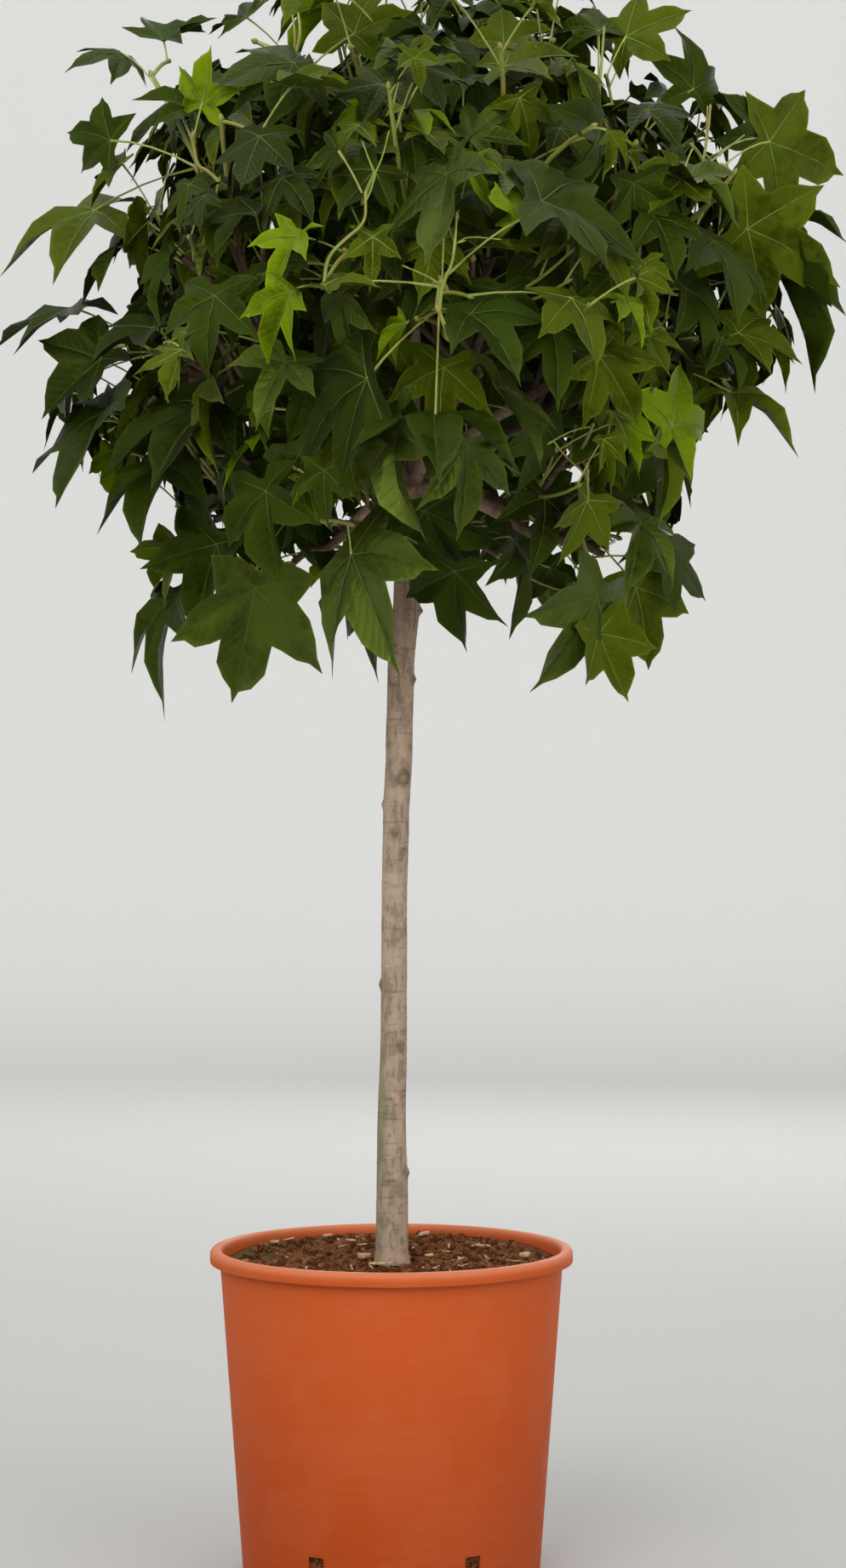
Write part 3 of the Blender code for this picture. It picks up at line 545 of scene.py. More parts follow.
class Nodes:
    """A shader tree under construction, whose nodes are fed sockets or plain values."""

    def __init__(self, tree):
        self.tree = tree

    def add(self, kind, given, **settings):
        made = self.tree.nodes.new("ShaderNode" + kind)
        for name, value in settings.items():
            setattr(made, name, value)
        for label, value in given.items():
            if isinstance(value, bpy.types.NodeSocket):
                self.tree.links.new(value, made.inputs[label])
            else:
                made.inputs[label].default_value = value
        return made

    def noise(self, place, scale, detail=3.0):
        given = {"Vector": place, "Scale": scale, "Detail": detail, "Roughness": 0.55}
        return self.add("TexNoise", given).outputs["Fac"]

    def mix(self, factor, first, second):
        return self.add("Mix", {0: factor, 6: opaque(first), 7: opaque(second)}, data_type="RGBA").outputs[2]

    def ramp(self, value, low, high, to_low=0.0, to_high=1.0):
        given = {"Value": value, "From Min": low, "From Max": high, "To Min": to_low, "To Max": to_high}
        return self.add("MapRange", given, interpolation_type="SMOOTHSTEP").outputs["Result"]

    def maths(self, operation, first, second):
        return self.add("Math", {0: first, 1: second}, operation=operation).outputs[0]


def new_group(name, inputs, outputs):
    """An empty shader group, what it is given and what it puts out."""
    made = bpy.data.node_groups.new(name, "ShaderNodeTree")
    for label, (kind, default) in inputs.items():
        socket = made.interface.new_socket(label, in_out="INPUT", socket_type="NodeSocket" + kind)
        socket.default_value = default
    for label, kind in outputs.items():
        made.interface.new_socket(label, in_out="OUTPUT", socket_type="NodeSocket" + kind)
    return Nodes(made), made.nodes.new("NodeGroupInput").outputs, made.nodes.new("NodeGroupOutput").inputs


ORIGIN = ("Vector", (0.0, 0.0, 0.0))
GREY = ("Color", (0.5, 0.5, 0.5, 1.0))


def mottle_group():
    """Two colours mixed in patches of one size, with edges as soft as asked."""
    inputs = {
        "Position": ORIGIN, "Size": ("Float", 40.0), "Softness": ("Float", 0.1),
        "First": GREY, "Second": GREY,
    }
    made, given, put = new_group("mottle", inputs, {"Color": "Color", "Mask": "Float"})
    half = made.maths("MULTIPLY", given["Softness"], 0.4)
    patches = made.noise(given["Position"], given["Size"])
    mask = made.ramp(patches, made.maths("SUBTRACT", 0.5, half), made.maths("ADD", 0.5, half))
    made.tree.links.new(mask, put["Mask"])
    made.tree.links.new(made.mix(mask, given["First"], given["Second"]), put["Color"])
    return made.tree


def grain_group():
    """Fine relief as a bump height: a coarse and a fine grain added together."""
    inputs = {
        "Position": ORIGIN, "Coarse": ("Float", 80.0), "Fine": ("Float", 600.0),
        "Share of fine": ("Float", 0.3),
    }
    made, given, put = new_group("grain", inputs, {"Height": "Float"})
    coarse, fine = (made.noise(given["Position"], given[label]) for label in ("Coarse", "Fine"))
    height = made.maths("ADD", coarse, made.maths("MULTIPLY", fine, given["Share of fine"]))
    made.tree.links.new(height, put["Height"])
    return made.tree


def side_veins_group():
    """Fine veins that leave a midrib at a slant, and the leaf's swell between them."""
    inputs = {
        "Along": ("Float", 0.0), "Across": ("Float", 0.0), "Spacing": ("Float", 0.1), "Slant": ("Float", 1.0),
    }
    made, given, put = new_group("side_veins", inputs, {"Line": "Float", "Swell": "Float"})
    leaning = made.maths("MULTIPLY", given["Across"], given["Slant"])
    rooted = made.maths("SUBTRACT", given["Along"], leaning)
    half = made.maths("MULTIPLY", given["Spacing"], 0.5)
    away = made.maths("DIVIDE", made.maths("PINGPONG", rooted, half), half)
    made.tree.links.new(made.ramp(away, 0.0, 0.16, 1.0, 0.0), put["Line"])
    made.tree.links.new(made.ramp(away, 0.0, 0.7, 0.0, 1.0), put["Swell"])
    return made.tree


class Finish(Nodes):
    """A material under construction, with its Principled shader and its object coordinates."""

    def __init__(self, name, roughness, specular):
        self.material = bpy.data.materials.new(name)
        self.material.use_nodes = True
        super().__init__(self.material.node_tree)
        self.shader = self.tree.nodes["Principled BSDF"]
        self.shader.inputs["Roughness"].default_value = roughness
        self.shader.inputs["Specular IOR Level"].default_value = specular
        self.place = self.add("TexCoord", {}).outputs["Object"]

    def stretched(self, scale):
        return self.add("Mapping", {"Vector": self.place, "Scale": scale}).outputs["Vector"]

    def height(self):
        return self.add("SeparateXYZ", {0: self.place}).outputs["Z"]

    def attribute(self, name):
        return self.add("Attribute", {}, attribute_name=name).outputs["Fac"]

    def effect(self, name, maker, given):
        """Places a shared group, which is made where it is first needed."""
        return self.add("Group", given, node_tree=bpy.data.node_groups.get(name) or maker()).outputs

    def mottle(self, size, softness, first, second, place=None):
        put = self.effect("mottle", mottle_group, {
            "Position": place or self.place, "Size": size, "Softness": softness,
            "First": opaque(first), "Second": opaque(second),
        })
        return put["Color"], put["Mask"]

    def bump(self, coarse, fine, share, strength, depth, place=None, swell=None):
        given = {"Position": place or self.place, "Coarse": coarse, "Fine": fine, "Share of fine": share}
        height = self.effect("grain", grain_group, given)["Height"]
        if swell is not None:
            height = self.maths("ADD", height, swell)
        made = self.add("Bump", {"Height": height, "Strength": strength, "Distance": depth})
        self.tree.links.new(made.outputs["Normal"], self.shader.inputs["Normal"])

    def finish(self, base, mask=None, smooth=0.0, rough=1.0):
        """Links the colour, and a roughness that follows a mask between two values."""
        self.tree.links.new(base, self.shader.inputs["Base Color"])
        if mask is not None:
            self.tree.links.new(self.ramp(mask, 0.0, 1.0, smooth, rough), self.shader.inputs["Roughness"])
        return self.material


def moulded_plastic(look):
    """Matte clay-coloured plastic, darker towards the foot as painted shade, with a pale rim that is partly
    dusty bloom and partly a painted highlight.
    """
    made = Finish("moulded_plastic", 0.5, 0.05)
    # Painted shade: the wall's colour darkens from the plastic to the shade colour towards the foot.
    wall = made.mix(made.ramp(made.height(), 0.02, 0.22), look.shade, look.plastic)
    clouded, mask = made.mottle(14.0, 0.1, wall, made.mix(0.04, wall, look.dust_and_painted_highlight))
    # The rim is paler: partly dusty bloom, partly a painted highlight where light falls on its top.
    rim = made.ramp(made.height(), POT_HEIGHT - 0.7 * RIM_DEPTH, POT_HEIGHT, 0.0, 0.52)
    flow = made.noise(made.stretched((6.0, 6.0, 60.0)), 5.0, 2.0)
    base = made.mix(rim, clouded, look.dust_and_painted_highlight)
    base = made.mix(made.ramp(flow, 0.35, 0.75, 0.0, 0.04), base, look.dust_and_painted_highlight)
    made.bump(160.0, 1400.0, 0.5, 0.12, 0.0004)
    return made.finish(base, mask, 0.46, 0.60)


def damp_compost(look):
    """Dark peat with reddish fibre, and a green film of moss at one side of the rim."""
    made = Finish("damp_compost", 0.95, 0.1)
    coarse, _ = made.mottle(120.0, 0.2, look.peat, look.fibre)
    base, mask = made.mottle(520.0, 0.1, coarse, look.fibre)
    made.bump(300.0, 1500.0, 0.6, 0.8, 0.0016)
    return made.finish(made.mix(made.attribute("moss"), base, look.moss), mask, 0.86, 1.0)


def plain_grain(name, first, second, size, roughness, specular, strength):
    """A natural surface in two near tones with a fine grain."""
    made = Finish(name, roughness, specular)
    base, mask = made.mottle(size, 0.1, first, second)
    made.bump(size * 2.0, size * 9.0, 0.4, strength, 0.0006)
    return made.finish(base, mask, roughness - 0.05, roughness + 0.05)


def stem_bark(look):
    """Grey-beige bark, browner higher up and lighter there as painted light against the head's shade, with
    dark flecks and scars and a green film low on one side.
    """
    made = Finish("stem_bark", 0.85, 0.25)
    # Towards the top the bark turns browner, and lighter as painted light against the head's shade.
    ground = made.mix(made.ramp(made.height(), 0.56, 0.84), look.pale, look.brown_and_painted_light)
    streaks = made.stretched((1.0, 1.0, 0.22))
    base, mask = made.mottle(210.0, 0.08, made.mix(0.32, ground, look.dark), ground, streaks)
    base, _ = made.mottle(75.0, 0.08, base, made.mix(0.45, base, brighter(look.pale, 1.35)))
    rings = made.noise(made.stretched((0.25, 0.25, 3.2)), 130.0, 2.0)
    base = made.mix(made.ramp(rings, 0.58, 0.70, 0.0, 0.30), base, look.dark)
    flecks = made.noise(made.stretched((1.0, 1.0, 1.6)), 340.0, 2.0)
    base = made.mix(made.ramp(flecks, 0.62, 0.72, 0.0, 0.42), base, look.dark)
    base = made.mix(made.attribute("algae"), base, look.algae)
    base = made.mix(made.attribute("pale"), base, look.pale)
    base = made.mix(made.maths("MULTIPLY", made.attribute("scar"), 0.7), base, look.dark)
    made.bump(260.0, 1300.0, 0.5, 0.55, 0.0009, streaks)
    return made.finish(base, mask, 0.78, 0.92)


def leaf_skin(tone, base, roughness, specular):
    """A leaf's surface: near tones of one green, fine side veins, a thin sheen and a painted highlight along
    the margin.
    """
    made = Finish(f"leaf_{tone}", roughness, specular)
    made.shader.inputs["Specular Tint"].default_value = SHEEN_TINT
    paler = brighter(base, 1.35, 0.001)
    skin, mask = made.mottle(26.0, 0.1, brighter(base, 0.72), paler)
    skin, _ = made.mottle(140.0, 0.1, skin, made.mix(0.5, skin, paler))
    skin = made.mix(made.ramp(made.attribute("shift"), 0.0, 1.0, 0.0, 0.60), skin, paler)
    # Painted highlight: the margin of each leaf is lighter, as if lit at its edge.
    painted_edge_highlight = made.ramp(made.attribute("margin"), 0.90, 1.0, 0.0, 0.70)
    skin = made.mix(painted_edge_highlight, skin, brighter(base, 2.0, 0.004))
    ribs = made.effect("side_veins", side_veins_group, {
        "Along": made.attribute("along"), "Across": made.attribute("across"), "Spacing": 0.105, "Slant": 0.95,
    })
    skin = made.mix(made.maths("MULTIPLY", ribs["Line"], 0.24), skin, brighter(base, 2.2, 0.004))
    made.bump(220.0, 900.0, 0.4, 0.35, 0.0010, swell=made.maths("MULTIPLY", ribs["Swell"], 0.5))
    return made.finish(skin, mask, roughness - 0.06, roughness + 0.06)


# ---- Objects and meshes ---------------------------------------------------------------------------

# Vertices nearer than this are merged.
TUBE_MERGED = 0.00001
PROFILE_MERGED = 0.000002
BLANK_MERGED = 0.0001
# Edges that turn more than this stay sharp, in degrees.
TUBE_CREASE = 60
LIMB_CREASE = 50
POT_CREASE = 38


def add_object(name, data, material):
    made = bpy.data.objects.new(name, data)
    if material:
        data.materials.append(material)
    bpy.context.scene.collection.objects.link(made)
    return made


def add_piece(name, data, material, slot, *replaced):
    """A piece of the plant, which rides on its one body and stands for the solids it is given."""
    made = add_object(name, data, material)
    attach(made, BODY)
    if replaced:
        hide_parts(*replaced)
    return made


def mesh_from(name, shape, crease=None):
    """A smooth-shaded mesh from a bmesh, with edges left sharp past the crease angle, in degrees."""
    data = bpy.data.meshes.new(name)
    shape.to_mesh(data)
    shape.free()
    data.shade_smooth()
    if crease:
        data.set_sharp_from_angle(angle=math.radians(crease))
    return data


def gather(shape, scrap):
    """Adds a mesh to a shape and drops the mesh."""
    shape.from_mesh(scrap)
    bpy.data.meshes.remove(scrap)


def joined(shapes):
    """Points and faces of many small shapes as one."""
    points, faces = [], []
    for own_points, own_faces in shapes:
        first = len(points)
        points += own_points
        faces += [[first + corner for corner in face] for face in own_faces]
    return points, faces


def mesh_from_arrays(name, points, faces):
    """One smooth-shaded mesh from many placed copies of a small shape."""
    data = bpy.data.meshes.new(name)
    data.from_pydata(points, [], faces)
    data.shade_smooth()
    return data


def write(data, name, values):
    """One value for each vertex, for the material to read."""
    data.attributes.new(name, "FLOAT", "POINT").data.foreach_set("value", values)


def applied(made):
    """A mesh of an object with its bevel or modifiers applied."""
    graph = bpy.context.evaluated_depsgraph_get()
    return bpy.data.meshes.new_from_object(made.evaluated_get(graph))


def tubes(name, courses, resolution):
    """One mesh of many round, tapering lengths. A course is a list of points with their radii."""
    curve = bpy.data.curves.new(name, "CURVE")
    curve.dimensions = "3D"
    curve.bevel_depth = 1.0
    curve.bevel_resolution = resolution
    curve.use_fill_caps = True
    for points, radii in courses:
        spline = curve.splines.new("POLY")
        spline.points.add(len(points) - 1)
        spline.use_smooth = True
        for knot, point, radius in zip(spline.points, points, radii):
            knot.co = (*point, 1.0)
            knot.radius = radius
    scrap = add_object(name + "_course", curve, None)
    data = applied(scrap)
    bpy.data.objects.remove(scrap)
    bpy.data.curves.remove(curve)
    shape = bmesh.new()
    gather(shape, data)
    bmesh.ops.remove_doubles(shape, verts=shape.verts, dist=TUBE_MERGED)
    bmesh.ops.recalc_face_normals(shape, faces=shape.faces)
    return mesh_from(name, shape, TUBE_CREASE)


# ---- Points and profiles --------------------------------------------------------------------------


def clamped(value):
    return max(0.0, min(1.0, value))


def around(azimuth):
    return Vector((math.cos(azimuth), math.sin(azimuth), 0.0))


def wobble(draws, most):
    """A small random shift on each axis."""
    return Vector([draws.uniform(-most, most) for _ in range(3)])


def course_length(points):
    return sum((after - before).length for before, after in itertools.pairwise(points))


def even_line(start, end, steps):
    """Points between two profile points, without the ends."""
    return [tuple(a + (b - a) * step / steps for a, b in zip(start, end)) for step in range(1, steps)]


def arc(centre_radius, centre_height, radius, start, end, steps):
    """Points of a profile on a circular arc, at even angles, in degrees."""
    points = []
    for step in range(steps + 1):
        angle = math.radians(start + (end - start) * step / steps)
        points.append((centre_radius + radius * math.cos(angle), centre_height + radius * math.sin(angle)))
    return points


def turned(profile, steps, merged):
    """A profile turned right round the Z axis, with vertices merged that are nearer than a distance."""
    shape = bmesh.new()
    verts = [shape.verts.new((radius, 0.0, height)) for radius, height in profile]
    edges = [shape.edges.new(pair) for pair in itertools.pairwise(verts)]
    bmesh.ops.spin(
        shape, geom=verts + edges, axis=UP, cent=Vector(), angle=math.tau, steps=steps, use_merge=True
    )
    bmesh.ops.remove_doubles(shape, verts=shape.verts, dist=merged)
    return shape


def spun(profile, steps):
    """A closed solid turned from a profile, with faces pointing out."""
    shape = turned(profile, steps, PROFILE_MERGED)
    bmesh.ops.recalc_face_normals(shape, faces=shape.faces)
    return shape


# ---- Pot ------------------------------------------------------------------------------------------


def wall_radius(height):
    share = height / (POT_HEIGHT - RIM_DEPTH)
    return BASE_RADIUS + (NECK_RADIUS - BASE_RADIUS) * share


def pot_profile():
    """Out over the floor, up the inside, over the rolled rim and its lip, down the wall, round the foot."""
    top = POT_HEIGHT
    fold = RIM_OUTER_ROUNDING
    curl = RIM_INNER_ROUNDING
    low = top - RIM_DEPTH
    lip = LIP_ROUNDING
    inner = (wall_radius(FLOOR) - WALL, FLOOR)
    throat = (wall_radius(top - fold) - WALL, top - fold)
    crest = wall_radius(top) - WALL + RIM_INNER_INSET
    inside = [(0.0, FLOOR), (FLOOR_MIDDLE, FLOOR)] + [inner] + even_line(inner, throat, 12) + [throat]
    over = arc(crest, top - curl, curl, 160, 95, 5)
    rim = arc(RIM_RADIUS - fold, top - fold, fold, 90, 0, 9)
    lips = arc(RIM_RADIUS - lip, low + lip, lip, -15, -165, 5)
    under = [(RIM_RADIUS - 2 * lip, top - fold), (wall_radius(top - fold) + UNDER_RIM_GAP, top - fold)]
    neck = (wall_radius(low - NECK_DROP), low - NECK_DROP)
    foot = arc(BASE_RADIUS - FOOT_ROUNDING, FOOT_ROUNDING, FOOT_ROUNDING, 0, -90, 5)
    down = [neck] + even_line(neck, foot[0], 14)
    return inside + over + rim + lips + under + down + foot + [(FLOOR_MIDDLE, 0.0), (0.0, 0.0)]


def slot_cutter(index):
    """A round-cornered block where a drainage slot runs down the wall and into the floor."""
    azimuth = SLOT_FIRST_AZIMUTH + math.tau * index / SLOTS
    below = SLOT_TOP / 2
    shape = bmesh.new()
    bmesh.ops.create_cube(shape, size=1.0)
    size = (2 * SLOT_INTO_FLOOR, SLOT_WIDTH, SLOT_TOP + below)
    bmesh.ops.scale(shape, vec=size, verts=shape.verts)
    bmesh.ops.translate(shape, vec=(BASE_RADIUS, 0.0, (SLOT_TOP - below) / 2), verts=shape.verts)
    along_x = [edge for edge in shape.edges if abs((edge.verts[0].co - edge.verts[1].co).x) > SLOT_INTO_FLOOR]
    bmesh.ops.bevel(
        shape, geom=along_x, offset=SLOT_ROUNDING, segments=3, profile=0.5, affect="EDGES", material=-1
    )
    bmesh.ops.rotate(shape, matrix=Matrix.Rotation(azimuth, 3, "Z"), verts=shape.verts)
    return shape


class TOPIARY_OT_pot(Operator):
    """Turns the pot with its rolled rim and cuts the drainage slots"""

    bl_idname = "topiary.pot"
    bl_label = "Pot"

    def execute(self, context):
        look = context.scene.topiary.pot
        plastic = moulded_plastic(look)
        pot = add_object("pot_turned", mesh_from("pot_turned", spun(pot_profile(), look.steps)), plastic)
        cutters = bmesh.new()
        for index in range(SLOTS):
            gather(cutters, mesh_from("slot", slot_cutter(index)))
        knife = add_object("slot_cutters", mesh_from("slot_cutters", cutters), None)
        cut = pot.modifiers.new("slots", "BOOLEAN")
        cut.operation = "DIFFERENCE"
        cut.object = knife
        data = applied(pot)
        for scrap in (pot, knife):
            bpy.data.objects.remove(scrap)
        data.name = "pot_shell"
        data.set_sharp_from_angle(angle=math.radians(POT_CREASE))
        data.materials.clear()
        add_piece("pot_shell", data, plastic, "pot", "pot")
        return {"FINISHED"}


# ---- Compost --------------------------------------------------------------------------------------


SOIL_DISH = 0.0020
SOIL_HEAP = 0.0042
SOIL_RINGS = 52
SOIL_SIDE_RINGS = 16
SOIL_GAP = 0.0006
SOIL_TOP_TOLERANCE = 0.0001
# Clods reach out to a share of the radius, and grow lower over the last stretch before the wall.
# Outside them the compost lies a little lower.
CLODS_SHARE = 0.985
CLODS_FADE = 0.008
SOIL_EDGE_DROP = 0.001
MOSS_SIDE = Vector((-0.94, 0.34))
STEM_CLEARANCE = 0.018
# How much loose pieces rise with the clods, and how far out of them: as a share of their size or width for
# crumbs and pale pieces, in metres for chips.
CRUMB_RIDE = 0.6
CRUMB_LIFT = 0.25
PALE_LIFT = 0.18
CHIP_RIDE = 0.5
CHIP_LIFT = 0.0010
CRUMB_SIZES = (0.0009, 0.0012, 0.0016, 0.0021, 0.0033)
CRUMB_SPREAD = ((0.7, 1.5), (0.7, 1.2), (0.4, 0.8))
CHIP_LENGTH = (0.004, 0.011)
CHIP_WIDTH_SHARE = 0.22
CHIP_THICKNESS = 0.0009
# Place across and depth, turn in degrees, length and width of the pale pieces that stand out on the compost.
PALE_PIECES = (
    (0.0250, 0.100, 62, 0.0150, 0.0042), (-0.0214, 0.012, 10, 0.0100, 0.0070),
    (0.1030, 0.008, 15, 0.0085, 0.0060), (-0.0080, -0.022, 4, 0.0180, 0.0034),
    (-0.0930, 0.062, 20, 0.0070, 0.0040), (0.0290, 0.018, 25, 0.0070, 0.0035),
    (-0.0520, 0.090, 50, 0.0100, 0.0036), (-0.0330, 0.070, -20, 0.0080, 0.0030),
    (0.0720, 0.048, -15, 0.0110, 0.0030),
)


def soil_level(x, y):
    """Height of the compost's lumpy top: highest near the wall and at the back, dished towards the stem."""
    radius = math.hypot(x, y)
    edge = SOIL_HIGH.x
    swell = math.sin(min(radius / (0.80 * edge), 1.0) * math.pi / 2) ** 2
    heaped = clamped((y / edge - 0.05) / 0.65)
    return SOIL_HIGH.z - SOIL_DISH * (1.0 - swell) + SOIL_HEAP * heaped * heaped * (3 - 2 * heaped)


def clods(x, y):
    """Relief of the compost from -1 to 1: clods of two sizes with a fine crumb on top."""
    broad = noise.noise(Vector((x * 42.0, y * 42.0, 3.1)))
    cells = noise.voronoi(Vector((x * 78.0, y * 78.0, 0.7)))[0][0]
    crumb = noise.noise(Vector((x * 260.0, y * 260.0, 9.3)))
    return 0.45 * broad + 0.55 * (0.42 - cells) * 1.6 + 0.28 * crumb


def moss_share(x, y):
    """How mossy the compost is: only at the left of the rim, and patchy."""
    towards = Vector((x, y)).normalized().dot(MOSS_SIDE)
    edge = math.hypot(x, y) / SOIL_HIGH.x
    patch = noise.noise(Vector((x * 60.0, y * 60.0, 21.0)))
    return clamped((towards - 0.86) * 7.0) * clamped((edge - 0.62) * 4.0) * (0.6 + patch)


def compost_body(relief, steps):
    """The root ball, with its top broken up into clods."""
    edge, high = SOIL_HIGH.x, SOIL_HIGH.z
    top = [(edge * ring / SOIL_RINGS, high) for ring in range(SOIL_RINGS + 1)]
    foot = (wall_radius(SOIL_LOW.z) - WALL - SOIL_GAP, SOIL_LOW.z)
    shape = spun(top + even_line(top[-1], foot, SOIL_SIDE_RINGS) + [foot, (0.0, SOIL_LOW.z)], steps)
    for vert in shape.verts:
        x, y, z = vert.co
        radius = vert.co.xy.length
        if z <= high - SOIL_TOP_TOLERANCE:
            continue
        if radius < edge * CLODS_SHARE:
            fade = min(1.0, (edge - radius) / CLODS_FADE)
            vert.co.z = soil_level(x, y) + relief * clods(x, y) * fade
        else:
            vert.co.z = soil_level(x, y) - SOIL_EDGE_DROP
    return shape


def scattered(shapes, places):
    """Points and faces of small shapes, each placed by a matrix."""
    pairs = zip(shapes, places)
    return joined(([place @ point for point in points], faces) for (points, faces), place in pairs)


def small_shape(build):
    """Points and faces of a small shape made by bmesh operators."""
    shape = bmesh.new()
    build(shape)
    shape.verts.ensure_lookup_table()
    shape.verts.index_update()
    points = [vert.co.copy() for vert in shape.verts]
    faces = [[vert.index for vert in face.verts] for face in shape.faces]
    shape.free()
    return points, faces


def crumb_shape(draws):
    def build(shape):
        bmesh.ops.create_icosphere(shape, subdivisions=1, radius=1.0)
        for vert in shape.verts:
            vert.co *= draws.uniform(0.62, 1.25)

    return small_shape(build)


def sliver_shape(draws):
    def build(shape):
        bmesh.ops.create_cube(shape, size=1.0)
        bmesh.ops.subdivide_edges(
            shape, edges=[edge for edge in shape.edges if abs((edge.verts[0].co - edge.verts[1].co).x) > 0.5],
            cuts=2, use_grid_fill=True,
        )
        for vert in shape.verts:
            taper = 1.0 - 0.5 * abs(2 * vert.co.x) ** 2
            vert.co.y *= taper
            vert.co += wobble(draws, 0.07)
            vert.co.z += 0.5 * vert.co.x * vert.co.x

    return small_shape(build)


def on_soil(x, y, lift, size, draws, tilt=0.35):
    """A random turn and tilt on the compost, for a piece of a size."""
    turn = Matrix.Rotation(draws.uniform(0, math.tau), 4, "Z")
    turn = turn @ Matrix.Rotation(draws.uniform(-tilt, tilt), 4, "X")
    place = Matrix.Translation((x, y, soil_level(x, y) + lift))
    return place @ turn @ Matrix.Rotation(draws.uniform(-tilt, tilt), 4, "Y") @ Matrix.Diagonal((*size, 1.0))


def soil_spot(draws, reach=0.94):
    """A random place on the compost, clear of the stem."""
    while True:
        radius = SOIL_HIGH.x * reach * math.sqrt(draws.random())
        if radius > STEM_CLEARANCE:
            azimuth = draws.uniform(0, math.tau)
            return radius * math.cos(azimuth), radius * math.sin(azimuth)


class TOPIARY_OT_compost(Operator):
    """Fills the pot with compost and strews crumbs and slivers of wood on it"""

    bl_idname = "topiary.compost"
    bl_label = "Compost"

    def execute(self, context):
        look = context.scene.topiary.compost
        draws = random.Random(SEED)
        soil = damp_compost(look)
        data = mesh_from("compost", compost_body(look.relief, context.scene.topiary.pot.steps))
        write(data, "moss", [moss_share(*vert.co.xy) for vert in data.vertices])
        add_piece("compost", data, soil, "compost", "root_ball")

        crumbs, places = [], []
        for _ in range(look.lumps):
            x, y = soil_spot(draws)
            size = draws.choice(CRUMB_SIZES)
            crumbs.append(crumb_shape(draws))
            lift = look.relief * clods(x, y) * CRUMB_RIDE + size * CRUMB_LIFT
            spread = [size * draws.uniform(*shares) for shares in CRUMB_SPREAD]
            places.append(on_soil(x, y, lift, spread, draws, 1.0))
        damp = blended(look.peat, look.fibre, 0.22)
        shades = (("crumbs_dark", damp, look.fibre, 0), ("crumbs_dry", look.fibre, look.wood, 1))
        for name, first, second, part in shades:
            chosen = [index for index in range(look.lumps) if (index % 5 > 2) == (part == 1)]
            points, faces = scattered([crumbs[i] for i in chosen], [places[i] for i in chosen])
            skin = plain_grain(name, first, blended(first, second, 0.18), 400.0, 0.94, 0.1, 0.6)
            add_piece(name, mesh_from_arrays(name, points, faces), skin, "compost")

        slivers, places = [], []
        for x, y, turn, length, width in PALE_PIECES:
            slivers.append(sliver_shape(draws))
            lift = look.relief * CRUMB_RIDE + width * PALE_LIFT
            place = Matrix.Translation((x, y, soil_level(x, y) + lift))
            place = place @ Matrix.Rotation(math.radians(turn), 4, "Z")
            places.append(place @ Matrix.Diagonal((length, width, width * 0.5, 1.0)))
        for _ in range(look.chips):
            x, y = soil_spot(draws)
            length = draws.uniform(*CHIP_LENGTH)
            slivers.append(sliver_shape(draws))
            lift = look.relief * clods(x, y) * CHIP_RIDE + CHIP_LIFT
            places.append(on_soil(x, y, lift, (length, length * CHIP_WIDTH_SHARE, CHIP_THICKNESS), draws))
        points, faces = scattered(slivers, places)
        wood = plain_grain("wood_slivers", look.wood, brighter(look.wood, 1.45), 160.0, 0.85, 0.3, 0.4)
        add_piece("wood_slivers", mesh_from_arrays("wood_slivers", points, faces), wood, "compost")
        return {"FINISHED"}


# ---- Stem and boughs ------------------------------------------------------------------------------


def course(height):
    """Lean and radius of the stem at a height, eased between the heights that are given."""
    for (low, lean, radius), (high, next_lean, next_radius) in itertools.pairwise(TRUNK_COURSE):
        if height <= high:
            share = max(0.0, (height - low) / (high - low))
            ease = share * share * (3 - 2 * share)
            return lean + (next_lean - lean) * ease, radius + (next_radius - radius) * share
    return TRUNK_COURSE[-1][1:]


def drawn_out(rings, sides):
    """A limb drawn out ring by ring from a filled circle. A ring is its centre, heading and radius."""
    shape = bmesh.new()
    centre, heading, radius = rings[0]
    turn = heading.to_track_quat("Z", "Y")
    place = Matrix.Translation(centre) @ turn.to_matrix().to_4x4()
    bmesh.ops.create_circle(shape, cap_ends=True, segments=sides, radius=radius, matrix=place)
    face = shape.faces[:][0]
    for (last, last_heading, last_radius), (centre, heading, radius) in itertools.pairwise(rings):
        drawn = bmesh.ops.extrude_face_region(shape, geom=[face, *face.edges])["geom"]
        face = next(item for item in drawn if isinstance(item, bmesh.types.BMFace))
        swing = last_heading.rotation_difference(heading)
        for vert in face.verts:
            vert.co = centre + swing @ (vert.co - last) * (radius / last_radius)
    bmesh.ops.recalc_face_normals(shape, faces=shape.faces)
    return shape


def bark_relief(point, azimuth):
    """Height of the bark's own relief from about -1 to 1: shallow furrows along the limb and low warts."""
    x, y, _ = around(azimuth)
    furrows = noise.noise(Vector((x * 4.5, y * 4.5, point.z * 55.0)))
    warts = noise.noise(Vector((x * 9.0, y * 9.0, point.z * 420.0)))
    rings = noise.noise(Vector((x * 0.8, y * 0.8, point.z * 300.0)))
    return 0.7 * furrows + 0.5 * warts + 0.45 * rings


def bell(away):
    """A soft peak: 1 in the middle and next to nothing from 2 on."""
    return math.exp(-(away**2))


def angle_between(first, second):
    return abs((first - second + math.pi) % math.tau - math.pi)


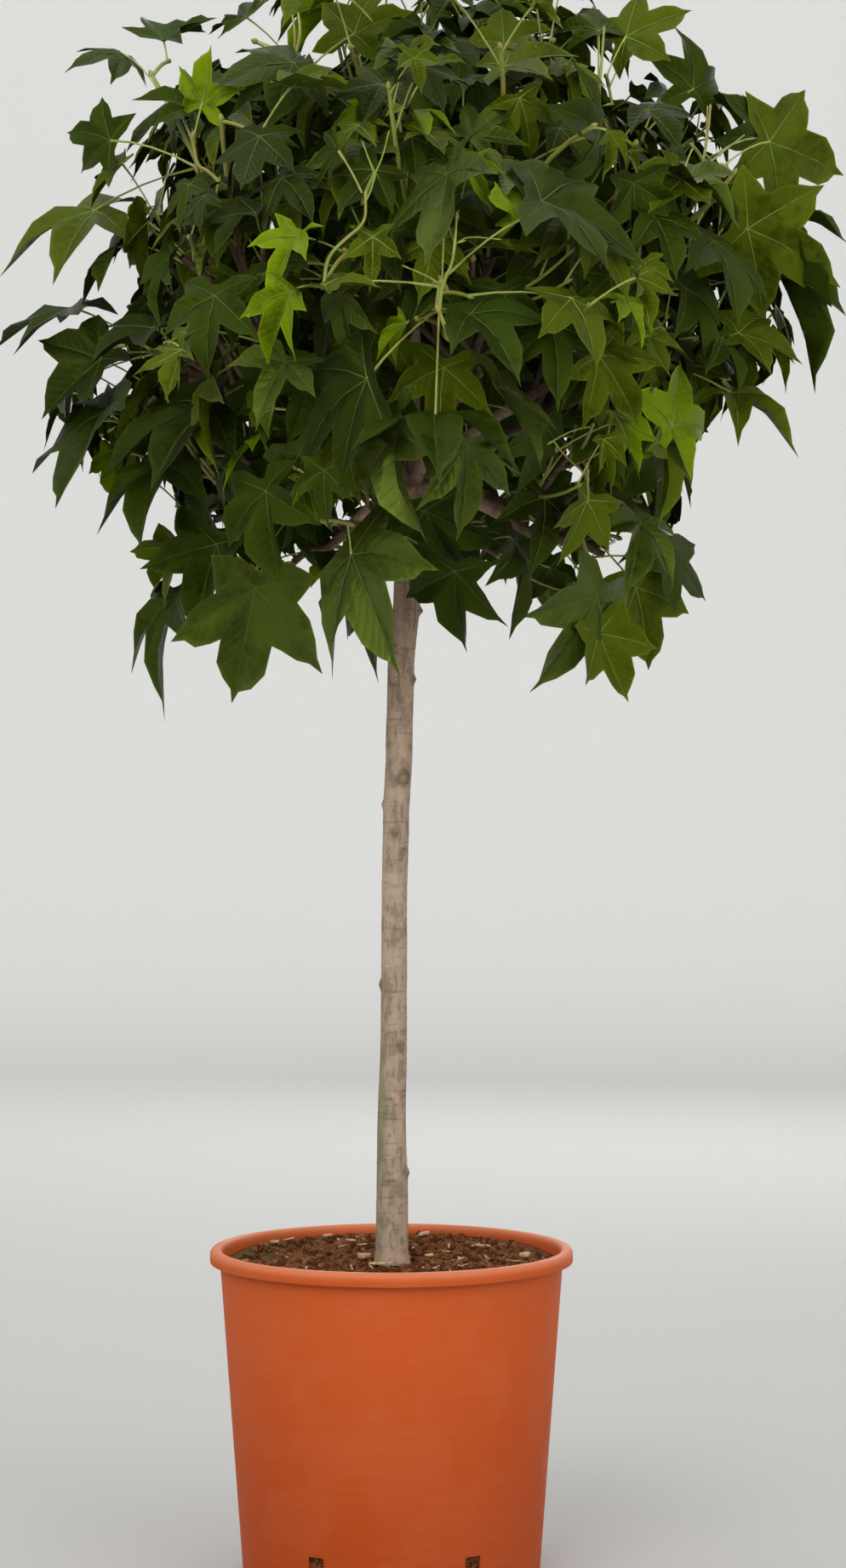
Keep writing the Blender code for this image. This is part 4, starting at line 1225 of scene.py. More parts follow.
def knot_marks(height, azimuth, radius):
    """How far knots lift the bark at a place, and how dark, pale and scarred it is there."""
    lift, dark, pale = 0.0, 0.0, 0.0
    for knot_height, knot_turn, size, stands, shade in KNOTS:
        rise = height - knot_height
        if abs(rise) > 3 * size:
            continue
        across = angle_between(azimuth, math.radians(knot_turn - 90)) * radius
        away = math.hypot(across, rise) / size
        lift += stands * math.exp(-1.6 * away * away)
        ring = math.exp(-7.0 * (away - 0.85) ** 2) + 0.7 * math.exp(-3.0 * away * away)
        if shade > 0:
            dark = max(dark, shade * min(1.0, ring))
        else:
            pale = max(pale, -shade * math.exp(-2.0 * away * away))
    for scar_height, scar_turn, half_width, shade in SCARS:
        rise = height - scar_height - SCAR_WANDER * math.sin(azimuth * 5)
        off = angle_between(azimuth, math.radians(scar_turn - 90)) / math.radians(half_width)
        if off < 1.0:
            line = bell(rise / SCAR_THICKNESS) * (1.0 - off * off)
            dark = max(dark, shade * line)
            ridge = bell((rise + SCAR_RIDGE_BELOW) / SCAR_RIDGE_THICKNESS)
            lift += SCAR_LIFT * shade * (ridge - line) * (1.0 - off * off)
    return lift, dark, pale


def algae_share(point, azimuth):
    """The green film low on the stem's left side, and faint near the compost."""
    side = max(0.0, math.cos(azimuth - ALGAE_AZIMUTH))
    band = sum(strength * bell((point.z - height) / spread) for height, spread, strength in ALGAE_BANDS)
    patch = 0.5 + 0.5 * noise.noise(Vector((azimuth * 2.0, 0.0, point.z * 70.0)))
    return min(0.75, side * side * band * (0.35 + patch))


def trunk_rings():
    foot, top = TRUNK_FOOT, TRUNK_COURSE[-1][0]
    count = round((top - foot) / TRUNK_RING_SPACING)
    rings = []
    for step in range(count + 1):
        height = foot + (top - foot) * step / count
        lean, radius = course(height)
        rings.append((Vector((lean, 0.0, height)), UP, radius))
    for degrees in UNION_TURNS:
        angle = math.radians(degrees)
        centre = UNION_CENTRE + UP * (UNION_RADIUS * math.sin(angle))
        rings.append((centre, UP, UNION_RADIUS * math.cos(angle)))
    return [ring for index, ring in enumerate(rings) if index == 0 or ring[0].z > rings[index - 1][0].z]


def bark_mesh(name, shape, relief, marked):
    """Raises the bark's relief on a limb and writes its scars, pale spots and algae as attributes."""
    layers = {key: [] for key in ("scar", "pale", "algae")}
    shape.normal_update()
    moves = []
    for vert in shape.verts:
        lean = course(vert.co.z)[0] if marked else 0.0
        azimuth = math.atan2(vert.co.y, vert.co.x - lean)
        lift, dark, pale = knot_marks(vert.co.z, azimuth, MEAN_RADIUS) if marked else (0.0, 0.0, 0.0)
        moves.append(vert.normal * (lift + relief * bark_relief(vert.co, azimuth)))
        layers["scar"].append(dark)
        layers["pale"].append(pale)
        layers["algae"].append(algae_share(vert.co, azimuth) if marked else 0.0)
    for vert, move in zip(shape.verts, moves):
        vert.co += move
    data = mesh_from(name, shape, LIMB_CREASE)
    for key, values in layers.items():
        write(data, key, values)
    return data


class TOPIARY_OT_stem(Operator):
    """Draws out the bare stem with its knots, scars and graft union, and the boughs that leave it"""

    bl_idname = "topiary.stem"
    bl_label = "Stem and boughs"

    def execute(self, context):
        look = context.scene.topiary.bark
        bark = stem_bark(look)
        shape = drawn_out(trunk_rings(), TRUNK_SIDES)
        add_piece("stem", bark_mesh("stem", shape, look.relief, True), bark, "bark", "trunk")
        gathered = bmesh.new()
        for _, ring, seat in mass_seats():
            points = bough_course(ring, seat)
            rings = []
            for index, point in enumerate(points):
                heading = (points[min(index + 1, len(points) - 1)] - points[max(index - 1, 0)]).normalized()
                share = index / (len(points) - 1)
                rings.append((point, heading, BOUGH_RADII[0] + (BOUGH_RADII[1] - BOUGH_RADII[0]) * share))
            bough = drawn_out(rings, BOUGH_SIDES)
            gather(gathered, bark_mesh("bough", bough, look.relief * BOUGH_RELIEF_SHARE, False))
        add_piece("boughs", mesh_from("boughs", gathered, LIMB_CREASE), bark, "bark", *BOUGH_NODES)
        return {"FINISHED"}


# ---- How the head grows ---------------------------------------------------------------------------


def mass_seats():
    """Name, ring and seat of each mass."""
    seats = []
    for ring, count, radius, height, first, (out, lift, turn) in MASS_RINGS:
        for index in range(count):
            shifted = index % 2
            azimuth = first + math.tau * index / count + turn * shifted
            side = around(azimuth) * (radius + out * shifted)
            name = f"foliage_{ring}" if count == 1 else f"foliage_{ring}_{index + 1}"
            seats.append((name, ring, HEAD_AXIS + side + UP * (height + lift * shifted)))
    return seats


def bough_course(ring, seat):
    """Centre line of a bough: it leaves the union squarely, steeper than it ends."""
    towards = (seat - UNION_CENTRE).normalized()
    leaving = (towards + UP * BOUGH_LIFT).normalized()
    start = UNION_CENTRE + leaving * UNION_RADIUS * BOUGH_ROOT_SHARE
    end = UNION_CENTRE + towards * BOUGH_REACH[ring]
    bend = start + leaving * (end - start).length * BOUGH_BEND_SHARE
    return bezier(start, bend, end, BOUGH_RINGS)


def bezier(start, bend, end, count):
    points = []
    for step in range(count):
        share = step / (count - 1)
        points.append(start.lerp(bend, share).lerp(bend.lerp(end, share), share))
    return points


def head_reach(height):
    heights = [entry[0] for entry in HEAD_OUTLINE]
    return np.interp(height, heights, [entry[1] for entry in HEAD_OUTLINE], left=-1.0, right=-1.0)


def room(point, seat, seats):
    """How far inside its own mass's space a point lies. The space holds the points nearest the seat."""
    others = [other for _, _, other in seats if (other - seat).length > 0]
    return min(((seat + other) / 2 - point).dot((other - seat).normalized()) for other in others)


def shoot_ends():
    """Points spread evenly over the head by the golden angle, a leaf's length or more inside its outline."""
    bands = []
    for (low, reach), (high, next_reach) in itertools.pairwise(HEAD_OUTLINE):
        if low < SHOOTS_ABOVE:
            continue
        slant = math.hypot(high - low, next_reach - reach)
        bands.append((low, reach, high, next_reach, slant * (reach + next_reach) / 2))
    whole = sum(band[-1] for band in bands)
    ends = []
    for index in range(SHOOTS):
        left = (index + 0.5) / SHOOTS * whole
        for low, reach, high, next_reach, area in bands:
            if left <= area:
                break
            left -= area
        share = left / area
        azimuth = index * GOLDEN_ANGLE
        reach += (next_reach - reach) * share
        side = around(azimuth) * reach
        outline = HEAD_AXIS + side + UP * (low + (high - low) * share)
        inset = SHOOT_INSETS[index % len(SHOOT_INSETS)]
        ends.append(outline + (HEAD_CORE - outline).normalized() * inset)
    return ends


def along(points, share):
    """Point and direction at a share of a course's length."""
    lengths = [(after - before).length for before, after in itertools.pairwise(points)]
    left = share * sum(lengths)
    for before, after, length in zip(points, points[1:], lengths):
        if left <= length or after is points[-1]:
            return before.lerp(after, min(left / length, 1.0)), (after - before).normalized()
        left -= length


def stem_course(seat, bough):
    """The stem that carries a mass: on from its bough's tip, through the seat."""
    heading = (bough[-1] - bough[-2]).normalized()
    start = bough[-1]
    outward = (seat - HEAD_CORE).normalized()
    bend = start.lerp(seat, STEM_BEND_SHARE) + heading * STEM_BEND_PUSH
    return [start, start + heading * STEM_STRAIGHT, bend, seat + outward * STEM_PAST_SEAT]


def shoot_course(stem, end, draws):
    """A shoot leaves the stem well before the place nearest its end, and bows up on the way."""
    stations = range(FIRST_SHOOT_STATION, STEM_STATIONS)
    places = [along(stem, station / STEM_STATIONS)[0] for station in stations]
    nearest = min(range(len(places)), key=lambda index: (places[index] - end).length)
    reach = (places[nearest] - end).length
    back = int(SHOOT_FORWARD * reach / course_length(stem) * STEM_STATIONS)
    start = places[max(nearest - back, 0)]
    span = end - start
    tilt = wobble(draws, SHOOT_TILT)
    middle = start.lerp(end, 0.5) + (UP * SHOOT_BOW + tilt) * span.length
    bend = middle * 2 - (start + end) / 2
    return bezier(start, bend, end, SHOOT_POINTS)


def random_side(heading, draws):
    """A direction square to a heading, at a random turn round it."""
    side = heading.orthogonal().normalized()
    side.rotate(Matrix.Rotation(draws.uniform(0, math.tau), 3, heading))
    return side


def sprig_course(node, heading, draws):
    """A finer side twig, out of its shoot at a slant and bowing up."""
    outward = (node - HEAD_CORE).normalized()
    follow, aside, lean = SPRIG_WEIGHTS
    towards = (heading * follow + random_side(heading, draws) * aside + outward * lean).normalized()
    length = draws.uniform(*SPRIG_LENGTH)
    bend = node + towards * length * 0.5
    end = bend + (towards + UP * SPRIG_RISE).normalized() * length * 0.5
    return bezier(node, bend, end, SPRIG_POINTS)


def leaf_place(node, heading, stalk_lengths, draws):
    """One way to hang a leaf: the stalk leans out of the head and the blade hangs from it."""
    outward = (node - HEAD_CORE).normalized()
    side = random_side(heading, draws)
    follow, aside, lean, rise = STALK_WEIGHTS
    stalk = (heading * follow + side * aside + outward * lean + UP * rise).normalized()
    hub = node + stalk * draws.uniform(*stalk_lengths)
    level = Vector((hub.x - HEAD_AXIS.x, hub.y - HEAD_AXIS.y, 0.0)).normalized()
    wander = wobble(draws, BLADE_WANDER)
    flat, away, sky, own = BLADE_WEIGHTS
    normal = (level * flat + outward * away + UP * sky + stalk * own + wander).normalized()
    follow, lean, drop = HANG_WEIGHTS
    hang = stalk * follow + outward * lean - UP * drop
    tip = (hang - normal * hang.dot(normal)).normalized()
    return hub, tip, normal


# ---- Leaves ---------------------------------------------------------------------------------------


@functools.lru_cache(maxsize=1)
def leaf_blank():
    """A round sheet turned from one spoke: each vertex's ring share, angle and reach, and the faces."""
    margin = list(HALF_MARGIN) + [(-degrees, reach) for degrees, reach in HALF_MARGIN[:0:-1]]
    shape = turned([(share, 0.0) for share in (0.0, *RING_SHARES)], len(margin), BLANK_MERGED)
    for face in shape.faces:
        if face.normal.z < 0:
            face.normal_flip()
    shape.verts.index_update()
    shares, angles, reaches = [], [], []
    for vert in shape.verts:
        step = round(math.atan2(vert.co.y, vert.co.x) / math.tau * len(margin)) % len(margin)
        degrees, reach = margin[step]
        shares.append(vert.co.xy.length)
        angles.append(math.radians(degrees))
        reaches.append(reach)
    faces = [[vert.index for vert in face.verts] for face in shape.faces]
    shape.free()
    return np.array(shares), np.array(angles), np.array(reaches), faces


def blank_ribs():
    """Where the blank's vertices lie along their lobe's midrib, to a side of it, and towards the margin."""
    shares, angles, reaches, _ = leaf_blank()
    aside = np.abs(angles[:, None] - LOBE_ANGLES[None, :]).min(axis=1)
    return shares * reaches * np.cos(aside), shares * reaches * np.sin(aside), shares


class Leaf:
    """One leaf: where it hangs and how its blade is curved."""

    def __init__(self, node, hub, tip, normal, length, tone, draws, age=1.0):
        self.node, self.hub, self.tip, self.normal = node, hub, tip, normal
        self.length, self.tone = length, tone
        self.fold = draws.uniform(-0.10, 0.50) + (1.0 - age) * 0.60
        self.keel = draws.uniform(0.18, 0.50) + (1.0 - age) * 0.20
        self.droop = draws.uniform(0.10, 0.42)
        self.twist = draws.uniform(-0.16, 0.16)
        self.sag = draws.uniform(0.06, 0.22)
        self.cup = draws.uniform(-0.26, 0.14)
        self.sway = draws.uniform(-0.18, 0.18)
        self.wave = draws.uniform(0.04, 0.10)
        self.phase = draws.uniform(0.0, math.tau)
        self.spread = draws.uniform(0.92, 1.04) * (0.84 + 0.16 * age)
        self.girth = draws.uniform(0.92, 1.08)
        self.cut = draws.uniform(0.86, 1.26) + (1.0 - age) * 0.25
        self.shift = draws.random()

    def surface(self, share, angle, reach):
        """World points of the blade at ring shares and angles, whose margin lies at the given reaches."""
        nearest = np.abs(angle[:, None] - LOBE_ANGLES[None, :]).min(axis=1)
        swung = angle * self.spread
        out = share * reach**self.cut
        along_tip = out * np.cos(swung)
        aside = out * np.sin(swung) * self.girth
        aside = aside + self.sway * along_tip**2
        lift = self.keel * out * np.sin(nearest)
        lift = lift - self.droop * out**2 + self.cup * aside**2
        lift = lift + self.twist * np.sin(2 * angle + self.phase) * out**2
        lift = lift + self.wave * np.sin(WAVES_ROUND * angle + self.phase) * share**2 * out
        lift = lift + np.abs(aside) * math.sin(self.fold)
        aside = aside * math.cos(self.fold)
        side = self.normal.cross(self.tip)
        axes = np.array([self.tip[:], side[:], self.normal[:]])
        flat = np.stack([along_tip, aside, lift], axis=1) * self.length
        points = flat @ axes + np.array(self.hub[:])
        points[:, 2] -= self.sag * self.length * out**2
        return points

    def blade(self):
        shares, angles, reaches, _ = leaf_blank()
        return self.surface(shares, angles, reaches)

    def veins(self):
        """Courses of the five midribs, which run out of the hub along the lobes."""
        made = []
        stations = np.array(VEIN_STATIONS)
        for degrees, reach in VEINS:
            angles = np.full(len(stations), math.radians(degrees))
            made.append((self.surface(stations, angles, np.full(len(stations), reach)), VEIN_RADII))
        return made

    def stalk(self):
        span = self.hub - self.node
        bend = self.node.lerp(self.hub, 0.55) + UP * STALK_BOW * span.length
        return bezier(self.node, bend, self.hub, len(STALK_RADII)), STALK_RADII


def inside_head(points):
    """True if all of a leaf's points are within the head's outline."""
    reach = head_reach(points[:, 2])
    away = np.hypot(points[:, 0] - HEAD_AXIS.x, points[:, 1] - HEAD_AXIS.y)
    return bool((away <= reach).all())


class Twig:
    """A length of twig, what it grew from, and how far along it carries something."""

    def __init__(self, points, radii, woody_share, parent=None, share=0.0):
        self.points = points
        self.radii = tapering(radii, len(points))
        self.woody_share = woody_share
        self.parent, self.share = parent, share
        self.used = 0.0

    def use(self, share=1.0):
        """Keeps the twig up to a share of its length, and what it grew from up to its foot."""
        self.used = max(self.used, share)
        if self.parent:
            self.parent.use(self.share)

    def lengths(self):
        """The woody and the green length, cut off at the last thing that the twig carries."""
        end = self.used * (len(self.points) - 1)
        whole = math.floor(end)
        points, radii = self.points[: whole + 1], self.radii[: whole + 1]
        if end - whole > TWIG_REST_LEAST:
            points = points + [self.points[whole].lerp(self.points[whole + 1], end - whole)]
            radii = radii + [self.radii[whole + 1]]
        split = round(self.woody_share * (len(self.points) - 1))
        return [(points[: split + 1], radii[: split + 1]), (points[split:], radii[split:])]


class Growth:
    """Everything that grows from the boughs: woody and green lengths of twig, buds and leaves."""

    def __init__(self, look):
        self.look = look
        self.twigs, self.sites, self.leaves = [], [], []
        self.hubs, self.trees, self.screens = [], [], []
        self.grow_twigs()
        self.grow_front()
        self.grow_leaves()
        self.woody, self.green, self.buds = [], [], []
        for twig in self.twigs:
            for courses, (points, radii) in zip((self.woody, self.green), twig.lengths()):
                if len(points) > 1:
                    courses.append((points, radii))
                    end = points, radii
            if twig.used and twig.parent:
                points, radii = end
                self.buds.append((points[-1], (points[-1] - points[-2]).normalized(), radii[-1]))

    def grow_twigs(self):
        seats = mass_seats()
        ends = {name: [] for name, _, _ in seats}
        for end in shoot_ends():
            nearest = min(seats, key=lambda entry: (entry[2] - end).length)
            ends[nearest[0]].append(end)
        for name, ring, seat in seats:
            draws = random.Random(name)
            corners = stem_course(seat, bough_course(ring, seat))
            middle = [along(corners, step / STEM_JOINTS)[0] for step in range(1, STEM_JOINTS)]
            stem = Twig([corners[0]] + middle + [corners[-1]], STEM_RADII, 1.0)
            stem.use()
            self.twigs.append(stem)
            for end in ends[name]:
                while room(end, seat, seats) < SHOOT_END_ROOM:
                    end = end.lerp(seat, SHOOT_END_STEP)
                shoot = Twig(shoot_course(corners, end, draws), SHOOT_RADII, WOODY_SHARE, stem)
                self.add_shoot(shoot, SHOOT_FIRST_LEAF)
                for share in SPRIG_SHARES:
                    points = sprig_course(*along(shoot.points, share), draws)
                    sprig = Twig(points, SPRIG_RADII, SPRIG_WOODY_SHARE, shoot, share)
                    self.add_shoot(sprig, SPRIG_FIRST_LEAF)

    def add_shoot(self, twig, first):
        """A twig with the sites of its leaves, from a share of its length to its end."""
        self.twigs.append(twig)
        count = max(2, round(course_length(twig.points) * (1 - first) / self.look.spacing))
        for step in range(count):
            self.sites.append((twig, first + (1 - first) * step / (count - 1)))

    def grow_front(self):
        """Hangs the leaves and shoots that show from the front where they are seen to be."""
        draws = random.Random(SEED)
        self.knots = [(twig, step) for twig in self.twigs for step in range(len(twig.points))]
        for places, nearness, first, last in FRONT_SHOOTS:
            points = [seen_place(place, nearness) for place in places]
            foot, share = self.linked(points[0], first / 1000)
            shoot = Twig(rounded(points), (first / 1000, last / 1000), 0.0, foot, share)
            shoot.use()
            self.twigs.append(shoot)
            self.knots += [(shoot, step) for step in range(len(shoot.points))]
            self.screens.append(ribbon(points))
        for hub, tip, side, hand, nearness, tone, *rest in FRONT_LEAVES:
            foot, fold = (*rest, None, None)[:2]
            leaf = seen_leaf(hub, tip, side, hand, nearness, tone, fold, draws)
            if foot:
                leaf.node = seen_place(foot, nearness * STALK_FOOT_BEHIND)
                self.linked(leaf.node, STALK_RADII[0] * STALK_FOOT_SWELL)
                self.screens.append(ribbon([leaf.node, leaf.hub]))
            else:
                leaf.node = self.stalk_foot(leaf.hub)
            self.add_leaf(leaf)
            self.screens.append((leaf.blade().tolist(), leaf_blank()[3]))
        self.screen = BVHTree.FromPolygons(*joined(self.screens))

    def add_leaf(self, leaf):
        self.leaves.append(leaf)
        self.trees.append(BVHTree.FromPolygons(leaf.blade().tolist(), leaf_blank()[3]))
        self.hubs.append(leaf.hub[:])

    def nearest(self, place):
        """The twig that passes nearest a place, and at which of its points."""
        return min(self.knots, key=lambda knot: (knot[0].points[knot[1]] - place).length)

    def linked(self, place, radius):
        """Joins a place to the nearest twig, by a twig of its own unless it lies on one."""
        twig, step = self.nearest(place)
        start = twig.points[step]
        share = step / (len(twig.points) - 1)
        twig.use(share)
        span = place - start
        if span.length < LINK_SHORTEST:
            return twig, share
        bend = start.lerp(place, 0.5) + UP * LINK_BOW * span.length
        link = Twig(bezier(start, bend, place, LINK_POINTS), (radius * LINK_SWELL, radius), 0.0, twig, share)
        link.use()
        self.twigs.append(link)
        self.knots += [(link, step) for step in range(1, len(link.points))]
        return link, 1.0

    def stalk_foot(self, hub):
        """Where a leaf that hangs at a place leaves a twig, which is one of its own where none is near."""
        inward = hub + (HEAD_CORE - hub).normalized() * STALK_LENGTH[1]
        twig, step = self.nearest(inward)
        foot = twig.points[step]
        if (foot - hub).length < STALK_LONGEST:
            twig.use(step / (len(twig.points) - 1))
            return foot
        foot = hub + (foot - hub).normalized() * STALK_LENGTH[0]
        self.linked(foot, SPRIG_RADII[1])
        return foot

    def hides_front(self, points):
        """True if a blade would stand before what is placed at the front, past its edge or in an opening."""
        sight = points - np.array(CAMERA_PLACE[:])
        flat = sight[:, [0, 2]] * (-CAMERA_PLACE.y / sight[:, 1])[:, None]
        flat = (flat + np.array([CAMERA_PLACE.x, CAMERA_PLACE.z])) * 1000
        if not within(flat, np.array(FRONT_EDGE)):
            return True
        for across, up, radius in FRONT_OPENINGS:
            if (np.hypot(flat[:, 0] - across, flat[:, 1] - up) < radius).any():
                return True
        for point, ray in zip(points[::2].tolist(), sight[::2].tolist()):
            if self.screen.ray_cast(point, ray)[0]:
                return True
        return False

    def grow_leaves(self):
        draws = random.Random(SEED)
        for twig, share in sorted(self.sites, key=lambda site: -site[1]):
            node, heading = along(twig.points, min(share, LEAF_SHARE_MOST))
            age = 1.0 - max(0.0, (share - YOUNG_FROM) / YOUNG_OVER) * draws.uniform(0.3, 1.0)
            lengths = [STALK_LENGTH[0] * (0.6 + 0.4 * age), STALK_LENGTH[1] * (0.5 + 0.5 * age)]
            places = [leaf_place(node, heading, lengths, draws) for _ in range(LEAF_TRIES)]
            size = draws.uniform(self.look.leaf_shortest, self.look.leaf_longest) * (0.62 + 0.38 * age)
            if self.hang(node, places, size, self.tone_of(age, node, draws), draws, age):
                twig.use(share)

    def tone_of(self, age, node, draws):
        """Newest leaves are brightest. Inside the head leaves get lighter greens as painted light against the
        shade there, outside dark greens or grey with a painted sheen.
        """
        inside = float(head_reach(node.z)) - math.hypot(node.x - HEAD_AXIS.x, node.y) > INNER_DEPTH
        chance = draws.random()
        if age < FRESH_AGE and chance < FRESH_CHANCE:
            return "young" if chance < YOUNG_CHANCE else "light"
        for tone, share in INNER_PAINTED_LIGHT_TONES if inside else OUTER_TONES:
            if chance < share:
                return tone
            chance -= share
        return "deep"

    def hang(self, node, places, size, tone, draws, age):
        """Hangs a leaf in the first of its places, farthest from other leaves first, where it fits."""
        hubs = np.array(self.hubs)
        places.sort(key=lambda place: -np.linalg.norm(hubs - np.array(place[0][:]), axis=1).min())
        faces = leaf_blank()[3]
        for hub, tip, normal in places:
            for shrink in LEAF_SHRINKS:
                leaf = Leaf(node, hub, tip, normal, size * shrink, tone, draws, age)
                points = leaf.blade()
                if not inside_head(points) or self.hides_front(points):
                    continue
                tree = BVHTree.FromPolygons(points.tolist(), faces)
                pairs = zip(self.trees, self.hubs)
                near = (other for other, spot in pairs if math.dist(spot, hub) < OVERLAP_REACH)
                if not any(tree.overlap(other) for other in near):
                    self.add_leaf(leaf)
                    return True
        return False


def within(points, outline):
    """True if all the points lie inside a closed outline, by the even-odd rule."""
    after = np.roll(outline, -1, axis=0)
    across, up = points[:, 0][:, None], points[:, 1][:, None]
    straddles = (outline[:, 1] > up) != (after[:, 1] > up)
    rise = np.where(after[:, 1] == outline[:, 1], 1.0, after[:, 1] - outline[:, 1])
    crossing = outline[:, 0] + (up - outline[:, 1]) * (after[:, 0] - outline[:, 0]) / rise
    return bool(((straddles & (across < crossing)).sum(axis=1) % 2 == 1).all())


def seen_place(place, nearness):
    """A place seen against the stem's plane, moved along the line of sight towards the front of the head."""
    across, up = place[0] / 1000, place[1] / 1000
    reach = float(head_reach(up)) - HUB_INSET
    forward = nearness * math.sqrt(max(reach * abs(reach) - (across - HEAD_AXIS.x) ** 2, 0.0))
    return CAMERA_PLACE.lerp(Vector((across, 0.0, up)), 1.0 + forward / CAMERA_PLACE.y)


def seen_turn(place, middle, lobe, hand):
    """Tip direction, normal and length of a leaf, from how two of its lobes look, in metres."""
    across_share = SIDE_LOBE_SHARE * math.sin(SIDE_LOBE) * hand
    aside = (lobe - middle * SIDE_LOBE_SHARE * math.cos(SIDE_LOBE)) / across_share
    longer, shorter, shared = middle.length_squared, aside.length_squared, middle.dot(aside)
    square = (longer + shorter + math.hypot(longer - shorter, 2 * shared)) / 2
    most = SEEN_MOST * max(middle.length, lobe.length / SIDE_LOBE_SHARE, SEEN_LENGTH[0])
    length = min(max(math.sqrt(square), SEEN_LENGTH[0]), most, SEEN_LENGTH[1])
    expected = (place - HEAD_CORE).normalized() + SEEN_FACING
    best = None
    for turn in (-1.0, 1.0):
        away = turn * math.sqrt(max(1.0 - longer / length**2, 0.0025))
        pointing = Vector((middle.x / length, away, middle.y / length)).normalized()
        across = Vector((aside.x / length, 0.0, aside.y / length))
        across.y = turn * math.sqrt(max(1.0 - shorter / length**2, 0.0)) * (-1.0 if shared > 0 else 1.0)
        across = (across - pointing * across.dot(pointing)).normalized()
        normal = pointing.cross(across)
        if best is None or normal.dot(expected) > best[1].dot(expected):
            best = (pointing, normal, length)
    return best


def seen_at(point):
    """Where a point is seen against the stem's plane, in metres across and up."""
    sight = Vector(point) - CAMERA_PLACE
    against = CAMERA_PLACE + sight * (-CAMERA_PLACE.y / sight.y)
    return Vector((against.x, against.z))


def seen_leaf(hub, tip, side, hand, nearness, tone, fold, draws):
    """A leaf turned so that its hub, middle lobe and one side lobe look as they are seen from the front.

    The blade's curve moves its tips, so the turn found for a flat blade is then fitted by least squares.
    """
    place = seen_place(hub, nearness)
    scale = (place.y - CAMERA_PLACE.y) / -CAMERA_PLACE.y
    hub, tip, side = (Vector(spot) / 1000 for spot in (hub, tip, side))
    middle, lobe = tip - hub, side - hub
    age = YOUNG_AGE if tone == "young" else 1.0
    leaf = Leaf(place, place, *seen_turn(place, middle * scale, lobe * scale, hand), tone, draws, age)
    if fold is not None:
        leaf.fold = fold
    wanted = np.array([*tip, *side])
    first_tip, first_normal = leaf.tip.copy(), leaf.normal.copy()
    first_length, first_spread = leaf.length, leaf.spread
    lobes = np.array([0.0, SIDE_LOBE * hand]), np.array([1.0, SIDE_LOBE_SHARE])

    def seen(change):
        turn = Euler(change[:3]).to_matrix()
        leaf.tip, leaf.normal = turn @ first_tip, turn @ first_normal
        leaf.length = first_length * (1.0 + change[3])
        leaf.spread = first_spread * (1.0 + change[4])
        return np.array([part for point in leaf.surface(np.ones(2), *lobes) for part in seen_at(point)])

    change = np.zeros(5)
    held = np.diag(SEEN_HOLDS)
    for _ in range(SEEN_ROUNDS):
        here = seen(change)
        slopes = np.array([(seen(change + step) - here) / SEEN_STEP for step in np.eye(5) * SEEN_STEP]).T
        pull = slopes.T @ (wanted - here) - held @ change
        change = change + np.linalg.solve(slopes.T @ slopes + held, pull)
    seen(change)
    return leaf


def rounded(points):
    """A course with its corners cut twice, so that it bends smoothly."""
    for _ in range(2):
        eased = [points[0]]
        for before, after in itertools.pairwise(points):
            eased += [before.lerp(after, 0.25), before.lerp(after, 0.75)]
        points = eased + [points[-1]]
    return points


def ribbon(points):
    """A narrow strip along a course, square to the line of sight, that nothing may stand before."""
    made, faces = [], []
    for before, after in itertools.pairwise(points):
        heading = (after - before).normalized()
        side = heading.cross(Vector((0.0, 1.0, 0.0))).normalized() * SCREEN_HALF_WIDTH
        first = len(made)
        made += [(before - side)[:], (before + side)[:], (after + side)[:], (after - side)[:]]
        faces.append(list(range(first, first + 4)))
    return made, faces


def tapering(radii, count):
    return [radii[0] + (radii[1] - radii[0]) * step / (count - 1) for step in range(count)]


@functools.lru_cache(maxsize=1)
def grown():
    return Growth(bpy.context.scene.topiary.head)


def bud_courses(buds):
    """Short pointed buds at the ends of the shoots."""
    return [
        ([point + heading * away for away, _ in BUD_STEPS], [radius * swell for _, swell in BUD_STEPS])
        for point, heading, radius in buds
    ]


class TOPIARY_OT_twigs(Operator):
    """Grows the woody twigs, green shoots and buds of the head"""

    bl_idname = "topiary.twigs"
    bl_label = "Twigs, shoots and buds"

    def execute(self, context):
        look = context.scene.topiary.head
        head = grown()
        wood = plain_grain("twig_bark", look.twig, brighter(look.twig, 1.6), 180.0, 0.8, 0.3, 0.5)
        add_piece("twigs", tubes("twigs", head.woody, 2), wood, "bark", *FOLIAGE_NODES)
        redder = [look.shoot[0] * 1.15, look.shoot[1] * 0.80, look.shoot[2]]
        green = plain_grain("green_shoot", look.shoot, redder, 60.0, 0.5, 0.5, 0.2)
        add_piece("shoots", tubes("shoots", head.green, 1), green, "leaves", *FOLIAGE_NODES)
        add_piece("buds", tubes("buds", bud_courses(head.buds), 1), green, "leaves", *FOLIAGE_NODES)
        return {"FINISHED"}


